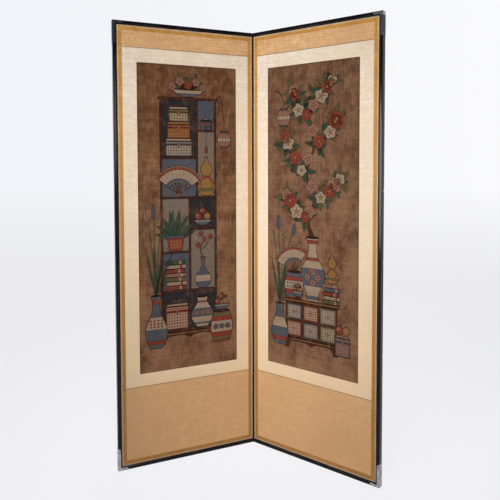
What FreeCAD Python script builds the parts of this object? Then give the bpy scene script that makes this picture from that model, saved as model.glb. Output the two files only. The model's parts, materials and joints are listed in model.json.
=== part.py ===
"""Two-panel folding screen: lacquered frames, lattice cores, silk mounts and cloth hinges.

Millimetres, +Z up. The screen stands in an open V that is symmetric about X = 0, with its
fronts towards -Y and the origin at the centre of its footprint. A panel is modelled in its
own frame and then turned about the fold line: u runs from the fold line to the outer edge,
y from the front to the back, and z up. On the left panel u runs along -X.
"""
import FreeCAD
import Part
import Sketcher
import os

# Driving sizes: name, value, what it measures.
SIZES = [
    ("panel_height", 1750, "height of a panel over its frame"),
    ("panel_width", 575, "fold line to the outer face of the frame"),
    ("fold_angle", 121, "angle between the two fronts as the screen stands"),
    ("fold_gap", 0.1, "clearance of each panel to the fold line"),
    ("frame_width", 16, "front width of the frame bars"),
    ("frame_depth", 22, "front to back depth of the frame bars"),
    ("frame_recess", 3, "lining below the frame's front and back planes"),
    ("bevel_width", 5.5, "inner bevel of the bars, across the front"),
    ("bevel_depth", 2.6, "inner bevel of the bars, into the depth"),
    ("lath_width", 1.8, "edge lath along the fold"),
    ("lining_thickness", 0.6, "paper lining, and the hinge cloth let into it"),
    ("hinge_pairs", 3, "cloth strips that wrap each way round the fold"),
    ("strip_gap", 1, "gap between neighbouring hinge strips"),
    ("hinge_flap", 30, "glued flap of a hinge strip"),
    ("edging_width", 4.5, "pale edging round the mount"),
    ("border_width", 14, "gold border inside the edging"),
    ("lower_silk_height", 288, "tan silk below the mat"),
    ("upper_silk_height", 64, "tan silk above the mat"),
    ("mat_top", 53.5, "mat above the picture"),
    ("mat_bottom", 49.5, "mat below the picture"),
    ("mat_hinge", 53, "mat beside the picture, towards the fold"),
    ("mat_outer", 54.5, "mat beside the picture, towards the outer stile"),
    ("seam_gap", 0.3, "open seam between mounted pieces"),
    ("silk_thickness", 0.6, "backed silk of the border, edging and field"),
    ("mat_thickness", 0.8, "backed silk of the mat"),
    ("picture_thickness", 0.5, "picture on its backing paper"),
    ("cover_thickness", 0.6, "cover on the back"),
    ("core_stile_width", 30, "upright members of the core"),
    ("core_rail_width", 40, "cross members of the core"),
    ("lattice_bar", 12, "width of a lattice bar"),
    ("lattice_uprights", 3, "lattice bars that stand"),
    ("lattice_crossbars", 10, "lattice bars that lie across"),
    ("stub_tenon", 8, "lattice bar let into the core"),
    ("peg_diameter", 3, "bamboo pegs between frame and core"),
    ("peg_depth", 11, "peg let into the frame, and as much into the core"),
    ("peg_inset", 120, "first and last peg to the ends of a bar"),
    ("stile_pegs", 5, "pegs along the outer stile"),
    ("rail_pegs", 3, "pegs along each rail"),
    ("bracket_height", 90, "corner bracket along the stile"),
    ("bracket_length", 42, "corner bracket along the rail"),
    ("bracket_slant", 7, "slanted ends of a bracket's front and back leaves"),
    ("bracket_thickness", 0.8, "sheet metal of a bracket"),
    ("bracket_proud", 0.3, "bracket above the wood that it is let into"),
    ("tack_diameter", 1.6, "shank of a bracket tack"),
    ("tack_length", 9, "tack below its head"),
    ("tack_head", 3.4, "diameter of a tack's head"),
    ("tack_dome", 0.5, "height of a tack's head"),
    ("tack_low", 26, "lower tack on the side of a bracket, from the corner"),
    ("tack_high", 68, "upper tack on the side of a bracket, from the corner"),
    ("tack_end", 28, "tack on the end of a bracket, from the corner"),
]

RIGHT = 1
LEFT = -1
PANELS = ((RIGHT, "right"), (LEFT, "left"))
SHANK_SIDES = 8

# Planes of a panel, as expressions of the driving sizes.
FRONT = "(Sizes.fold_gap + Sizes.lining_thickness)"
BACK = f"({FRONT} + Sizes.frame_depth)"
MIDDLE = f"({FRONT} + Sizes.frame_depth / 2)"
LINING_FRONT = f"({FRONT} + Sizes.frame_recess)"
CORE_FRONT = f"({LINING_FRONT} + Sizes.lining_thickness)"
LINING_BACK = f"({BACK} - Sizes.frame_recess)"
CORE_BACK = f"({LINING_BACK} - Sizes.lining_thickness)"
LATH_EDGE = FRONT
CORE_HINGE = f"({LATH_EDGE} + Sizes.lath_width)"
CORE_OUTER = "(Sizes.panel_width - Sizes.frame_width)"
CORE_BOTTOM = "Sizes.frame_width"
CORE_TOP = "(Sizes.panel_height - Sizes.frame_width)"
MOUNT_HINGE = f"({CORE_HINGE} + Sizes.lining_thickness)"
FLAP_END = f"({MOUNT_HINGE} + Sizes.hinge_flap)"
STRIP_PITCH = f"(({CORE_TOP} - {CORE_BOTTOM}) / (2 * Sizes.hinge_pairs))"
BRACKET_LEAF = "(Sizes.frame_width - Sizes.bevel_width)"

# The fold line stands behind the origin, so that the open V is centred on it.
HALF_FOLD = "(Sizes.fold_angle / 2)"
OUTER_REACH = "(Sizes.panel_width + Sizes.bracket_proud + Sizes.fold_gap)"
DEPTH_REACH = f"({FRONT} - Sizes.bracket_proud + {BACK} + Sizes.lining_thickness)"
FOLD_Y = f"({OUTER_REACH} * cos({HALF_FOLD}) - {DEPTH_REACH} * sin({HALF_FOLD})) / 2"

doc = FreeCAD.newDocument("FoldingScreen")
sheet = doc.addObject("Spreadsheet::Sheet", "Sizes")
nodes = {}


def fill_sheet():
    """Write the driving sizes into the sheet, one row each."""
    for row, (name, number, meaning) in enumerate(SIZES, start=1):
        sheet.set(f"A{row}", name)
        sheet.set(f"B{row}", str(number))
        sheet.setAlias(f"B{row}", name)
        sheet.set(f"C{row}", meaning)
    doc.recompute()


def value(expression):
    """Number that an expression has now."""
    return float(sheet.evalExpression(expression))


def count(name):
    """Whole number held by one cell."""
    return int(value(f"Sizes.{name}"))


def finish_node(name, side, piece):
    """Name a finished piece and turn it with its panel about the fold line."""
    upright = FreeCAD.Vector(0, 0, 1)
    piece.Label = name
    piece.Placement = FreeCAD.Placement(FreeCAD.Vector(), FreeCAD.Rotation(upright, 1))
    piece.setExpression("Placement.Rotation.Angle", f"{-side} * (90 - {HALF_FOLD})")
    piece.setExpression("Placement.Base.y", FOLD_Y)
    nodes[name] = piece


def add_sketch(body, name, role, side, offset, outline):
    """Closed outline on an origin plane of a body, each corner bound to its expressions.

    On the XY and XZ planes the first coordinate is u, so the left panel's sketch is turned
    to run along -X. The offset moves the sketch along u, y or z to where the outline lies.
    """
    sketch = body.newObject("Sketcher::SketchObject", name)
    plane = [item for item in body.Origin.OriginFeatures if item.Role == role][0]
    sketch.AttachmentSupport = [(plane, "")]
    sketch.MapMode = "FlatFace"
    if side == LEFT and role != "YZ_Plane":
        turn = FreeCAD.Rotation(FreeCAD.Vector(0, 1, 0), 180)
        sketch.AttachmentOffset = FreeCAD.Placement(FreeCAD.Vector(), turn)
    along = {"XZ_Plane": -1, "XY_Plane": 1, "YZ_Plane": side}[role]
    sketch.setExpression("AttachmentOffset.Base.z", f"{along} * ({offset})")
    corners = [FreeCAD.Vector(value(first), value(second), 0) for first, second in outline]
    for index, corner in enumerate(corners):
        following = corners[(index + 1) % len(corners)]
        sketch.addGeometry(Part.LineSegment(corner, following))
    for index in range(len(corners)):
        after = (index + 1) % len(corners)
        sketch.addConstraint(Sketcher.Constraint("Coincident", index, 2, after, 1))
    for index, (first, second) in enumerate(outline):
        for kind, expression in (("DistanceX", first), ("DistanceY", second)):
            start = Sketcher.Constraint(kind, -1, 1, index, 1, value(expression))
            sketch.setExpression(f"Constraints[{sketch.addConstraint(start)}]", expression)
    return sketch


def pads_backwards(role, side):
    """True where a sketch's own normal points away from growing u, y or z."""
    return side == (RIGHT if role == "XZ_Plane" else LEFT)


def pad(name, role, side, offset, outline, length):
    """Body padded from an outline, along u, y or z by the plane that it lies on."""
    body = doc.addObject("PartDesign::Body", name)
    feature = body.newObject("PartDesign::Pad", f"{name}_pad")
    feature.Profile = add_sketch(body, f"{name}_outline", role, side, offset, outline)
    feature.Reversed = pads_backwards(role, side)
    feature.setExpression("Length", length)
    return body


def pocket(body, name, role, side, offset, outline, length):
    """Pocket in a body, along u, y or z by the plane that its outline lies on."""
    cut = body.newObject("PartDesign::Pocket", name)
    cut.Profile = add_sketch(body, f"{name}_outline", role, side, offset, outline)
    cut.Reversed = not pads_backwards(role, side)
    cut.setExpression("Length", length)
    return cut


def rectangle(u_from, u_to, z_from, z_to):
    """Corners of a rectangle seen from the front."""
    return [(u_from, z_from), (u_to, z_from), (u_to, z_to), (u_from, z_to)]


def slab(name, side, outline, y_from, y_to):
    """Flat piece with an outline seen from the front."""
    return pad(name, "XZ_Plane", side, y_from, outline, f"{y_to} - ({y_from})")


def block(name, side, u_span, y_span, z_span):
    """Plain bar or cutter between pairs of planes."""
    box = doc.addObject("Part::Box", name)
    box.setExpression("Length", f"{u_span[1]} - ({u_span[0]})")
    box.setExpression("Width", f"{y_span[1]} - ({y_span[0]})")
    box.setExpression("Height", f"{z_span[1]} - ({z_span[0]})")
    low_x = u_span[0] if side == RIGHT else f"-({u_span[1]})"
    box.setExpression("Placement.Base.x", low_x)
    box.setExpression("Placement.Base.y", y_span[0])
    box.setExpression("Placement.Base.z", z_span[0])
    return box


def run_from(item, side, along, u, y, z):
    """Start an upright item at a point and turn it to run along u, back along u, up or down."""
    turns = {"outwards": 90 * side, "inwards": -90 * side, "up": 0, "down": 180}
    across = FreeCAD.Vector(0, 1, 0)
    item.Placement = FreeCAD.Placement(FreeCAD.Vector(), FreeCAD.Rotation(across, turns[along]))
    item.setExpression("Placement.Base.x", f"{side} * ({u})")
    item.setExpression("Placement.Base.y", y)
    item.setExpression("Placement.Base.z", z)
    return item


def shank(name, diameter, length):
    """Whittled peg or forged shank, eight-sided."""
    prism = doc.addObject("Part::Prism", name)
    prism.Polygon = SHANK_SIDES
    prism.setExpression("Circumradius", f"{diameter} / 2")
    prism.setExpression("Height", length)
    return prism


def tack_head(name):
    """Low round head of a tack."""
    cone = doc.addObject("Part::Cone", name)
    cone.setExpression("Radius1", "Sizes.tack_head / 2")
    cone.setExpression("Radius2", "Sizes.tack_diameter / 2")
    cone.setExpression("Height", "Sizes.tack_dome")
    return cone


def group(name, pieces):
    """Separate solids held as one object."""
    compound = doc.addObject("Part::Compound", name)
    compound.Links = pieces
    return compound


def carve(name, base, cutters):
    """Piece cut by several cutters."""
    cut = doc.addObject("Part::Cut", name)
    cut.Base = base
    cut.Tool = group(f"{name}_cutters", cutters)
    return cut


def spread(first, last, number, index):
    """Place of one of several points, evenly spread between two ends."""
    return f"({first} + ({last} - {first}) * {index} / ({number} - 1))"


def lattice_line(first, last, number, index):
    """Lower or inner side of one of several lattice bars, evenly spread in a clear span."""
    bay = f"(({last} - {first} - {number} * Sizes.lattice_bar) / ({number} + 1))"
    return f"({first} + {index + 1} * {bay} + {index} * Sizes.lattice_bar)"


class Core:
    """Wooden core: half-lapped stiles and rails round a half-lapped lattice."""

    HALF = f"(({CORE_FRONT} + {CORE_BACK}) / 2)"
    THROUGH = (CORE_FRONT, CORE_BACK)
    FRONT_HALF = (CORE_FRONT, HALF)
    BACK_HALF = (HALF, CORE_BACK)
    INNER_HINGE = f"({CORE_HINGE} + Sizes.core_stile_width)"
    INNER_OUTER = f"({CORE_OUTER} - Sizes.core_stile_width)"
    INNER_BOTTOM = f"({CORE_BOTTOM} + Sizes.core_rail_width)"
    INNER_TOP = f"({CORE_TOP} - Sizes.core_rail_width)"
    STILES = {"hinge": (CORE_HINGE, INNER_HINGE), "outer": (INNER_OUTER, CORE_OUTER)}
    RAILS = {"bottom": (CORE_BOTTOM, INNER_BOTTOM), "top": (INNER_TOP, CORE_TOP)}
    WIDE = (CORE_HINGE, CORE_OUTER)
    TALL = (CORE_BOTTOM, CORE_TOP)

    def __init__(self, side, panel, pegs):
        self.side = side
        self.panel = panel
        uprights = self.uprights()
        crossbars = self.crossbars()
        self.lattice(uprights, crossbars)
        self.members(uprights, crossbars, pegs)

    def block(self, name, u_span, y_span, z_span):
        """Bar or cutter of this panel."""
        return block(f"{self.panel}_{name}", self.side, u_span, y_span, z_span)

    @staticmethod
    def stubbed(first, last):
        """Clear span of the core with a stub let in at both ends."""
        return f"{first} - Sizes.stub_tenon", f"{last} + Sizes.stub_tenon"

    def uprights(self):
        """Standing lattice bars, each with a stub at both ends."""
        number = count("lattice_uprights")
        reach = self.stubbed(self.INNER_BOTTOM, self.INNER_TOP)
        spans = []
        for index in range(number):
            low = lattice_line(self.INNER_HINGE, self.INNER_OUTER, number, index)
            spans.append((low, f"({low} + Sizes.lattice_bar)"))
        bars = [self.block("upright_bar", span, self.THROUGH, reach) for span in spans]
        laps = [self.block("upright_lap", span, self.BACK_HALF, self.TALL) for span in spans]
        return bars, laps

    def crossbars(self):
        """Lattice bars that lie across, each with a stub at both ends."""
        number = count("lattice_crossbars")
        reach = self.stubbed(self.INNER_HINGE, self.INNER_OUTER)
        spans = []
        for index in range(number):
            low = lattice_line(self.INNER_BOTTOM, self.INNER_TOP, number, index)
            spans.append((low, f"({low} + Sizes.lattice_bar)"))
        bars = [self.block("cross_bar", reach, self.THROUGH, span) for span in spans]
        laps = [self.block("cross_lap", self.WIDE, self.FRONT_HALF, span) for span in spans]
        return bars, laps

    def lattice(self, uprights, crossbars):
        """Lattice bars, halved where they cross: uprights behind, crossbars in front."""
        standing = group(f"{self.panel}_upright_blanks", uprights[0])
        lying = group(f"{self.panel}_crossbar_blanks", crossbars[0])
        pieces = {
            "lattice_uprights": carve(f"{self.panel}_halved_uprights", standing, crossbars[1]),
            "lattice_crossbars": carve(f"{self.panel}_halved_crossbars", lying, uprights[1]),
        }
        for name, piece in pieces.items():
            finish_node(f"{self.panel}_{name}", self.side, piece)

    def members(self, uprights, crossbars, pegs):
        """Stiles and rails, lapped at the corners, with sockets for stubs and pegs."""
        for name, span in self.STILES.items():
            blank = self.block(f"{name}_stile_blank", span, self.THROUGH, self.TALL)
            ends = self.RAILS.values()
            laps = [self.block("stile_lap", span, self.FRONT_HALF, end) for end in ends]
            stile = carve(f"{self.panel}_{name}_stile", blank, laps + crossbars[0] + pegs)
            finish_node(f"{self.panel}_core_{name}_stile", self.side, stile)
        for name, span in self.RAILS.items():
            blank = self.block(f"{name}_rail_blank", self.WIDE, self.THROUGH, span)
            ends = self.STILES.values()
            laps = [self.block("rail_lap", end, self.BACK_HALF, span) for end in ends]
            rail = carve(f"{self.panel}_{name}_rail", blank, laps + uprights[0] + pegs)
            finish_node(f"{self.panel}_core_{name}_rail", self.side, rail)


class Frame:
    """Lacquered bars round the core, mitred and bevelled, with brackets at the outer corners."""

    OUTER = "Sizes.panel_width"
    HEIGHT = "Sizes.panel_height"
    CASE_FRONT = f"({FRONT} - Sizes.bracket_proud)"
    CASE_BACK = f"({BACK} + Sizes.bracket_proud)"
    CASE_OUTER = "(Sizes.panel_width + Sizes.bracket_proud)"

    def __init__(self, side, panel):
        self.side = side
        self.panel = panel
        self.pegs = self.make_pegs()
        ends = {"bottom": self.from_bottom, "top": self.from_top}
        caps = {end: self.bracket(end, edge) for end, edge in ends.items()}
        tacks = {end: self.tacks(end, edge) for end, edge in ends.items()}
        all_tacks = tacks["bottom"] + tacks["top"]
        self.seat_brackets(caps, tacks)
        self.bars(self.pegs + list(caps.values()) + all_tacks)
        self.lath()
        finish_node(f"{panel}_frame_pegs", side, group(f"{panel}_pegs", self.pegs))
        finish_node(f"{panel}_bracket_tacks", side, group(f"{panel}_tacks", all_tacks))

    @staticmethod
    def from_bottom(height):
        """Height above the foot of the panel."""
        return f"({height})"

    @staticmethod
    def from_top(height):
        """Height below the top of the panel."""
        return f"(Sizes.panel_height - ({height}))"

    def peg(self, along, u, z):
        """One blind peg, half in the frame and half in the core."""
        item = shank(f"{self.panel}_peg", "Sizes.peg_diameter", "2 * Sizes.peg_depth")
        return run_from(item, self.side, along, u, MIDDLE, z)

    def make_pegs(self):
        """Blind pegs from the frame into the core, along the outer stile and both rails."""
        pegs = []
        tall = ("Sizes.peg_inset", f"({self.HEIGHT} - Sizes.peg_inset)")
        for index in range(count("stile_pegs")):
            z = spread(*tall, "Sizes.stile_pegs", index)
            pegs.append(self.peg("outwards", f"{CORE_OUTER} - Sizes.peg_depth", z))
        wide = ("Sizes.peg_inset", f"({self.OUTER} - Sizes.peg_inset)")
        for index in range(count("rail_pegs")):
            u = spread(*wide, "Sizes.rail_pegs", index)
            for edge in (CORE_BOTTOM, CORE_TOP):
                pegs.append(self.peg("up", u, f"{edge} - Sizes.peg_depth"))
        return pegs

    def bar_section(self, outer, inner, bevel):
        """Section of a bar as (across, depth): flat faces, with a bevel to the mount on both sides."""
        return [
            (outer, FRONT),
            (bevel, FRONT),
            (inner, f"{FRONT} + Sizes.bevel_depth"),
            (inner, f"{BACK} - Sizes.bevel_depth"),
            (bevel, BACK),
            (outer, BACK),
        ]

    def bars(self, fittings):
        """Outer stile and both rails, mitred where they meet and let in for the brackets."""
        flat = f"({CORE_OUTER} + Sizes.bevel_width)"
        section = self.bar_section(self.OUTER, CORE_OUTER, flat)
        stile = pad(f"{self.panel}_stile_bar", "XY_Plane", self.side, "0", section, self.HEIGHT)
        for end, edge in (("foot", self.from_bottom), ("head", self.from_top)):
            outer, inner = edge("0"), edge("Sizes.frame_width")
            mitre = [(self.OUTER, outer), (CORE_OUTER, outer), (CORE_OUTER, inner)]
            pocket(stile, f"{self.panel}_{end}_mitre", "XZ_Plane", self.side, "0", mitre, BACK)
        self.finish_bar("outer_stile", stile, fittings)
        length = f"{self.OUTER} - {LATH_EDGE}"
        for end, edge in (("bottom", self.from_bottom), ("top", self.from_top)):
            outer, inner = edge("0"), edge("Sizes.frame_width")
            section = self.bar_section(outer, inner, edge(BRACKET_LEAF))
            across = [(depth, height) for height, depth in section]
            rail = pad(f"{self.panel}_{end}_bar", "YZ_Plane", self.side, LATH_EDGE, across, length)
            mitre = [(self.OUTER, outer), (self.OUTER, inner), (CORE_OUTER, inner)]
            pocket(rail, f"{self.panel}_{end}_rail_mitre", "XZ_Plane", self.side, "0", mitre, BACK)
            self.finish_bar(f"{end}_rail", rail, fittings)

    def finish_bar(self, name, bar, fittings):
        """Cut a bar's sockets for pegs, brackets and tacks."""
        socketed = carve(f"{self.panel}_{name}_socketed", bar, fittings)
        finish_node(f"{self.panel}_{name}", self.side, socketed)

    def lath(self):
        """Thin edge lath along the fold, between the rails."""
        outline = rectangle(LATH_EDGE, CORE_HINGE, CORE_BOTTOM, CORE_TOP)
        lath = slab(f"{self.panel}_lath", self.side, outline, FRONT, BACK)
        finish_node(f"{self.panel}_hinge_lath", self.side, lath)

    def bracket(self, end, edge):
        """Folded corner cap: slanted leaves on the front and back, a side and an end."""
        toe = f"({self.OUTER} - Sizes.bracket_length)"
        leaf_inner = f"({self.OUTER} - {BRACKET_LEAF})"
        outline = [
            (self.CASE_OUTER, edge("0")),
            (toe, edge("0")),
            (f"({toe} + Sizes.bracket_slant)", edge(BRACKET_LEAF)),
            (leaf_inner, edge(BRACKET_LEAF)),
            (leaf_inner, edge("Sizes.bracket_height - Sizes.bracket_slant")),
            (self.CASE_OUTER, edge("Sizes.bracket_height")),
        ]
        cap = slab(f"{self.panel}_{end}_cap", self.side, outline, self.CASE_FRONT, self.CASE_BACK)
        hollow_front = f"({self.CASE_FRONT} + Sizes.bracket_thickness)"
        hollow = rectangle(
            toe,
            f"({self.CASE_OUTER} - Sizes.bracket_thickness)",
            edge("Sizes.bracket_thickness"),
            edge("Sizes.bracket_height"),
        )
        depth = "Sizes.frame_depth + 2 * (Sizes.bracket_proud - Sizes.bracket_thickness)"
        pocket(cap, f"{self.panel}_{end}_hollow", "XZ_Plane", self.side, hollow_front, hollow, depth)
        return cap

    def tack(self, name, outwards, inwards, u, z):
        """Domed tack: a shank driven in from a point, and a head that stands out from it."""
        driven = shank(f"{name}_shank", "Sizes.tack_diameter", "Sizes.tack_length")
        tack = doc.addObject("Part::Fuse", name)
        tack.Base = run_from(driven, self.side, inwards, u, MIDDLE, z)
        tack.Tool = run_from(tack_head(f"{name}_head"), self.side, outwards, u, MIDDLE, z)
        return tack

    def tacks(self, end, edge):
        """Two tacks on the side of a bracket and one, sunk flush, on its end."""
        tacks = []
        for height in ("Sizes.tack_low", "Sizes.tack_high"):
            name = f"{self.panel}_{end}_side_tack"
            tacks.append(self.tack(name, "outwards", "inwards", self.CASE_OUTER, edge(height)))
        outwards, inwards = ("down", "up") if end == "bottom" else ("up", "down")
        u = f"({self.OUTER} - Sizes.tack_end)"
        name = f"{self.panel}_{end}_end_tack"
        tacks.append(self.tack(name, outwards, inwards, u, edge("Sizes.tack_dome")))
        return tacks

    def seat_brackets(self, caps, tacks):
        """Drill the brackets for their tacks."""
        for end, cap in caps.items():
            drilled = carve(f"{self.panel}_{end}_drilled", cap, tacks[end])
            finish_node(f"{self.panel}_{end}_bracket", self.side, drilled)


class Mount:
    """Paper linings, the silk mount round the picture, and the cover on the back."""

    SILK = f"({LINING_FRONT} - Sizes.silk_thickness)"
    MAT = f"({LINING_FRONT} - Sizes.mat_thickness)"
    PICTURE = f"({LINING_FRONT} - Sizes.picture_thickness)"
    COVER = f"({LINING_BACK} + Sizes.cover_thickness)"

    def __init__(self, side, panel, front_strip, edge_strip):
        self.side = side
        self.panel = panel
        self.lining("front_lining", front_strip, LINING_FRONT, CORE_FRONT)
        self.lining("back_lining", edge_strip, CORE_BACK, LINING_BACK)
        whole = (MOUNT_HINGE, CORE_OUTER, CORE_BOTTOM, CORE_TOP)
        self.sheet("back_cover", whole, LINING_BACK, self.COVER)
        edging_inner = self.inset(whole, "Sizes.edging_width")
        border_inner = self.inset(edging_inner, "Sizes.border_width")
        self.mitred("edging", whole, edging_inner)
        self.mitred("gold_border", self.inset(edging_inner, "Sizes.seam_gap"), border_inner)
        self.field(self.inset(border_inner, "Sizes.seam_gap"))

    @staticmethod
    def inset(edges, width):
        """Rectangle that lies inside another by one width."""
        u_from, u_to, z_from, z_to = edges
        across = (f"({u_from} + {width})", f"({u_to} - {width})")
        return across + (f"({z_from} + {width})", f"({z_to} - {width})")

    def sheet(self, name, edges, y_from, y_to):
        """Rectangular sheet of the mount."""
        piece = slab(f"{self.panel}_{name}_sheet", self.side, rectangle(*edges), y_from, y_to)
        finish_node(f"{self.panel}_{name}", self.side, piece)

    def lining(self, name, first_strip, y_from, y_to):
        """Paper lining, notched along the fold for the flaps of the hinge strips."""
        outline = rectangle(CORE_HINGE, CORE_OUTER, CORE_BOTTOM, CORE_TOP)
        lining = slab(f"{self.panel}_{name}_sheet", self.side, outline, y_from, y_to)
        low, high = strip_span(first_strip)
        notch = rectangle(CORE_HINGE, FLAP_END, low, high)
        cut_name = f"{self.panel}_{name}_notch"
        depth = "Sizes.lining_thickness"
        cut = pocket(lining, cut_name, "XZ_Plane", self.side, y_from, notch, depth)
        pattern = lining.newObject("PartDesign::LinearPattern", f"{cut_name}_row")
        pattern.Originals = [cut]
        pattern.Direction = (cut.Profile[0], ["V_Axis"])
        pattern.setExpression("Length", f"2 * {STRIP_PITCH} * (Sizes.hinge_pairs - 1)")
        pattern.setExpression("Occurrences", "Sizes.hinge_pairs")
        lining.Tip = pattern
        finish_node(f"{self.panel}_{name}", self.side, lining)

    def mitred(self, name, outer, inner):
        """Four strips round a rectangle, mitred at the corners."""
        (a, b, c, d), (e, f, g, h) = outer, inner
        outlines = {
            "foot": [(a, c), (b, c), (f, g), (e, g)],
            "head": [(a, d), (b, d), (f, h), (e, h)],
            "hinge": [(a, c), (a, d), (e, h), (e, g)],
            "outer": [(b, c), (b, d), (f, h), (f, g)],
        }
        strips = []
        for place, outline in outlines.items():
            strip = slab(f"{self.panel}_{name}_{place}", self.side, outline, self.SILK, LINING_FRONT)
            strips.append(strip)
        finish_node(f"{self.panel}_{name}", self.side, group(f"{self.panel}_{name}_strips", strips))

    def field(self, edges):
        """Tan silk above and below the mat, the mat's four strips, and the picture."""
        u_from, u_to, z_from, z_to = edges
        lower = f"({z_from} + Sizes.lower_silk_height)"
        upper = f"({z_to} - Sizes.upper_silk_height)"
        mat_low = f"({lower} + Sizes.seam_gap)"
        mat_high = f"({upper} - Sizes.seam_gap)"
        low = f"({mat_low} + Sizes.mat_bottom)"
        high = f"({mat_high} - Sizes.mat_top)"
        near = f"({u_from} + Sizes.mat_hinge)"
        far = f"({u_to} - Sizes.mat_outer)"
        self.sheet("lower_silk", (u_from, u_to, z_from, lower), self.SILK, LINING_FRONT)
        self.sheet("upper_silk", (u_from, u_to, upper, z_to), self.SILK, LINING_FRONT)
        strips = {
            "foot": (u_from, u_to, mat_low, low),
            "head": (u_from, u_to, high, mat_high),
            "hinge": (u_from, near, low, high),
            "outer": (far, u_to, low, high),
        }
        pieces = []
        for place, span in strips.items():
            outline = rectangle(*span)
            strip = slab(f"{self.panel}_mat_{place}", self.side, outline, self.MAT, LINING_FRONT)
            pieces.append(strip)
        finish_node(f"{self.panel}_mat", self.side, group(f"{self.panel}_mat_strips", pieces))
        picture = self.inset((near, far, low, high), "Sizes.seam_gap")
        self.sheet("picture", picture, self.PICTURE, LINING_FRONT)


def strip_span(index):
    """Lower and upper end of one hinge strip."""
    low = f"({CORE_BOTTOM} + {index} * {STRIP_PITCH} + Sizes.strip_gap / 2)"
    return low, f"({low} + {STRIP_PITCH} - Sizes.strip_gap)"


class Hinge:
    """Cloth strips that wrap the fold in turn, each cut at the fold line into its two leaves.

    A front leaf is glued under the mount, climbs the lath and reaches the fold line. The edge
    leaf on the other panel goes on down that panel's lath and under its back cover.
    """

    INNER = "Sizes.fold_gap"
    CLOTH = "Sizes.lining_thickness"

    def __init__(self, side, panel, front_strip, edge_strip):
        self.side = side
        self.panel = panel
        self.leaves("hinge_front_leaves", front_strip, self.front_section())
        self.leaves("hinge_edge_leaves", edge_strip, self.edge_section())

    def front_section(self):
        """Section of a front leaf as (u, y): over the lath, down its inner side, along the core."""
        return [
            (self.INNER, self.INNER),
            (MOUNT_HINGE, self.INNER),
            (MOUNT_HINGE, LINING_FRONT),
            (FLAP_END, LINING_FRONT),
            (FLAP_END, CORE_FRONT),
            (CORE_HINGE, CORE_FRONT),
            (CORE_HINGE, FRONT),
            (self.INNER, FRONT),
        ]

    def edge_section(self):
        """Section of an edge leaf as (u, y): down the lath, round its back, along the core."""
        outer_back = f"({BACK} + {self.CLOTH})"
        return [
            (self.INNER, self.INNER),
            (self.INNER, outer_back),
            (MOUNT_HINGE, outer_back),
            (MOUNT_HINGE, LINING_BACK),
            (FLAP_END, LINING_BACK),
            (FLAP_END, CORE_BACK),
            (CORE_HINGE, CORE_BACK),
            (CORE_HINGE, BACK),
            (LATH_EDGE, BACK),
            (LATH_EDGE, self.INNER),
        ]

    def leaves(self, name, first_strip, section):
        """Leaves of every second strip."""
        pieces = []
        for index in range(count("hinge_pairs")):
            low, high = strip_span(first_strip + 2 * index)
            piece_name = f"{self.panel}_{name}_{index}"
            pieces.append(pad(piece_name, "XY_Plane", self.side, low, section, f"{high} - {low}"))
        finish_node(f"{self.panel}_{name}", self.side, group(f"{self.panel}_{name}_set", pieces))


def check_document():
    """Stop if any object failed to rebuild or any piece is not a valid solid."""
    for item in doc.Objects:
        if "Invalid" in item.State or "Error" in item.State:
            raise RuntimeError(f"{item.Label} did not rebuild: {item.State}")
    for name, piece in nodes.items():
        if piece.Shape.isNull() or not piece.Shape.isValid() or not piece.Shape.Solids:
            raise RuntimeError(f"{name} has no valid solid")


def main():
    """Build both panels and write one file for each piece."""
    fill_sheet()
    for side, panel in PANELS:
        front_strip = 0 if side == LEFT else 1
        edge_strip = 1 - front_strip
        frame = Frame(side, panel)
        Core(side, panel, frame.pegs)
        Mount(side, panel, front_strip, edge_strip)
        Hinge(side, panel, front_strip, edge_strip)
    doc.recompute()
    check_document()
    os.makedirs("parts", exist_ok=True)
    for name, piece in nodes.items():
        piece.Shape.exportStep(f"parts/{name}.step")
        print(name, len(piece.Shape.Solids), round(piece.Shape.Volume))


main()
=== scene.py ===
"""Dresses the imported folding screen: lacquer frames, silk mounts, painted pictures and cloth hinges."""

import json
import logging
import math
import random
from collections.abc import Callable, Iterable, Iterator, Sequence
from contextlib import contextmanager
from dataclasses import dataclass, field
from enum import Enum

import bmesh
import bpy
import numpy as np
from mathutils import Euler, Matrix, Vector


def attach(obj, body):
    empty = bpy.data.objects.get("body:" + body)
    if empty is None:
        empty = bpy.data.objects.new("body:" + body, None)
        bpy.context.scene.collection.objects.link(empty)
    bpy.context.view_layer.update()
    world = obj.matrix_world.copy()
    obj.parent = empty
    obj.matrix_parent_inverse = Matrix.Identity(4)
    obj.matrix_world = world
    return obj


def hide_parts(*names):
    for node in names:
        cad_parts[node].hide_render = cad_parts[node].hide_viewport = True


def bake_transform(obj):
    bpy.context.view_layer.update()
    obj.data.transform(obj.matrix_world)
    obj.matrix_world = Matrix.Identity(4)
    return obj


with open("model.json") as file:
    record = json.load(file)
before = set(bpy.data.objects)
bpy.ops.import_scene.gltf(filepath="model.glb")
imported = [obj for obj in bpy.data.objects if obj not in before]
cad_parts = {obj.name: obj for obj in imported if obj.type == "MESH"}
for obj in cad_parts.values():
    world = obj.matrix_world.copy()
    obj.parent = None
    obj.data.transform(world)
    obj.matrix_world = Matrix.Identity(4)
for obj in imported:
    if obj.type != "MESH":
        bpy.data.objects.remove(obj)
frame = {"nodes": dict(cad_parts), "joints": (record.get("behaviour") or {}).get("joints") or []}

LOG = logging.getLogger("folding_screen")
MM = 0.001
TOUCH = 0.05 * MM
MERGE_WITHIN = 0.002 * MM
FLAT_WITHIN = math.radians(1)
EDGE_ANGLE = math.radians(25)
SMOOTH_ANGLE = math.radians(40)
ABOVE_ALL = 9.0

Point = tuple[float, float]
Corners = tuple[float, float, float, float]
Colour = tuple[float, float, float]
Socket = bpy.types.NodeSocket
Material = bpy.types.Material
Piece = bpy.types.Object


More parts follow.
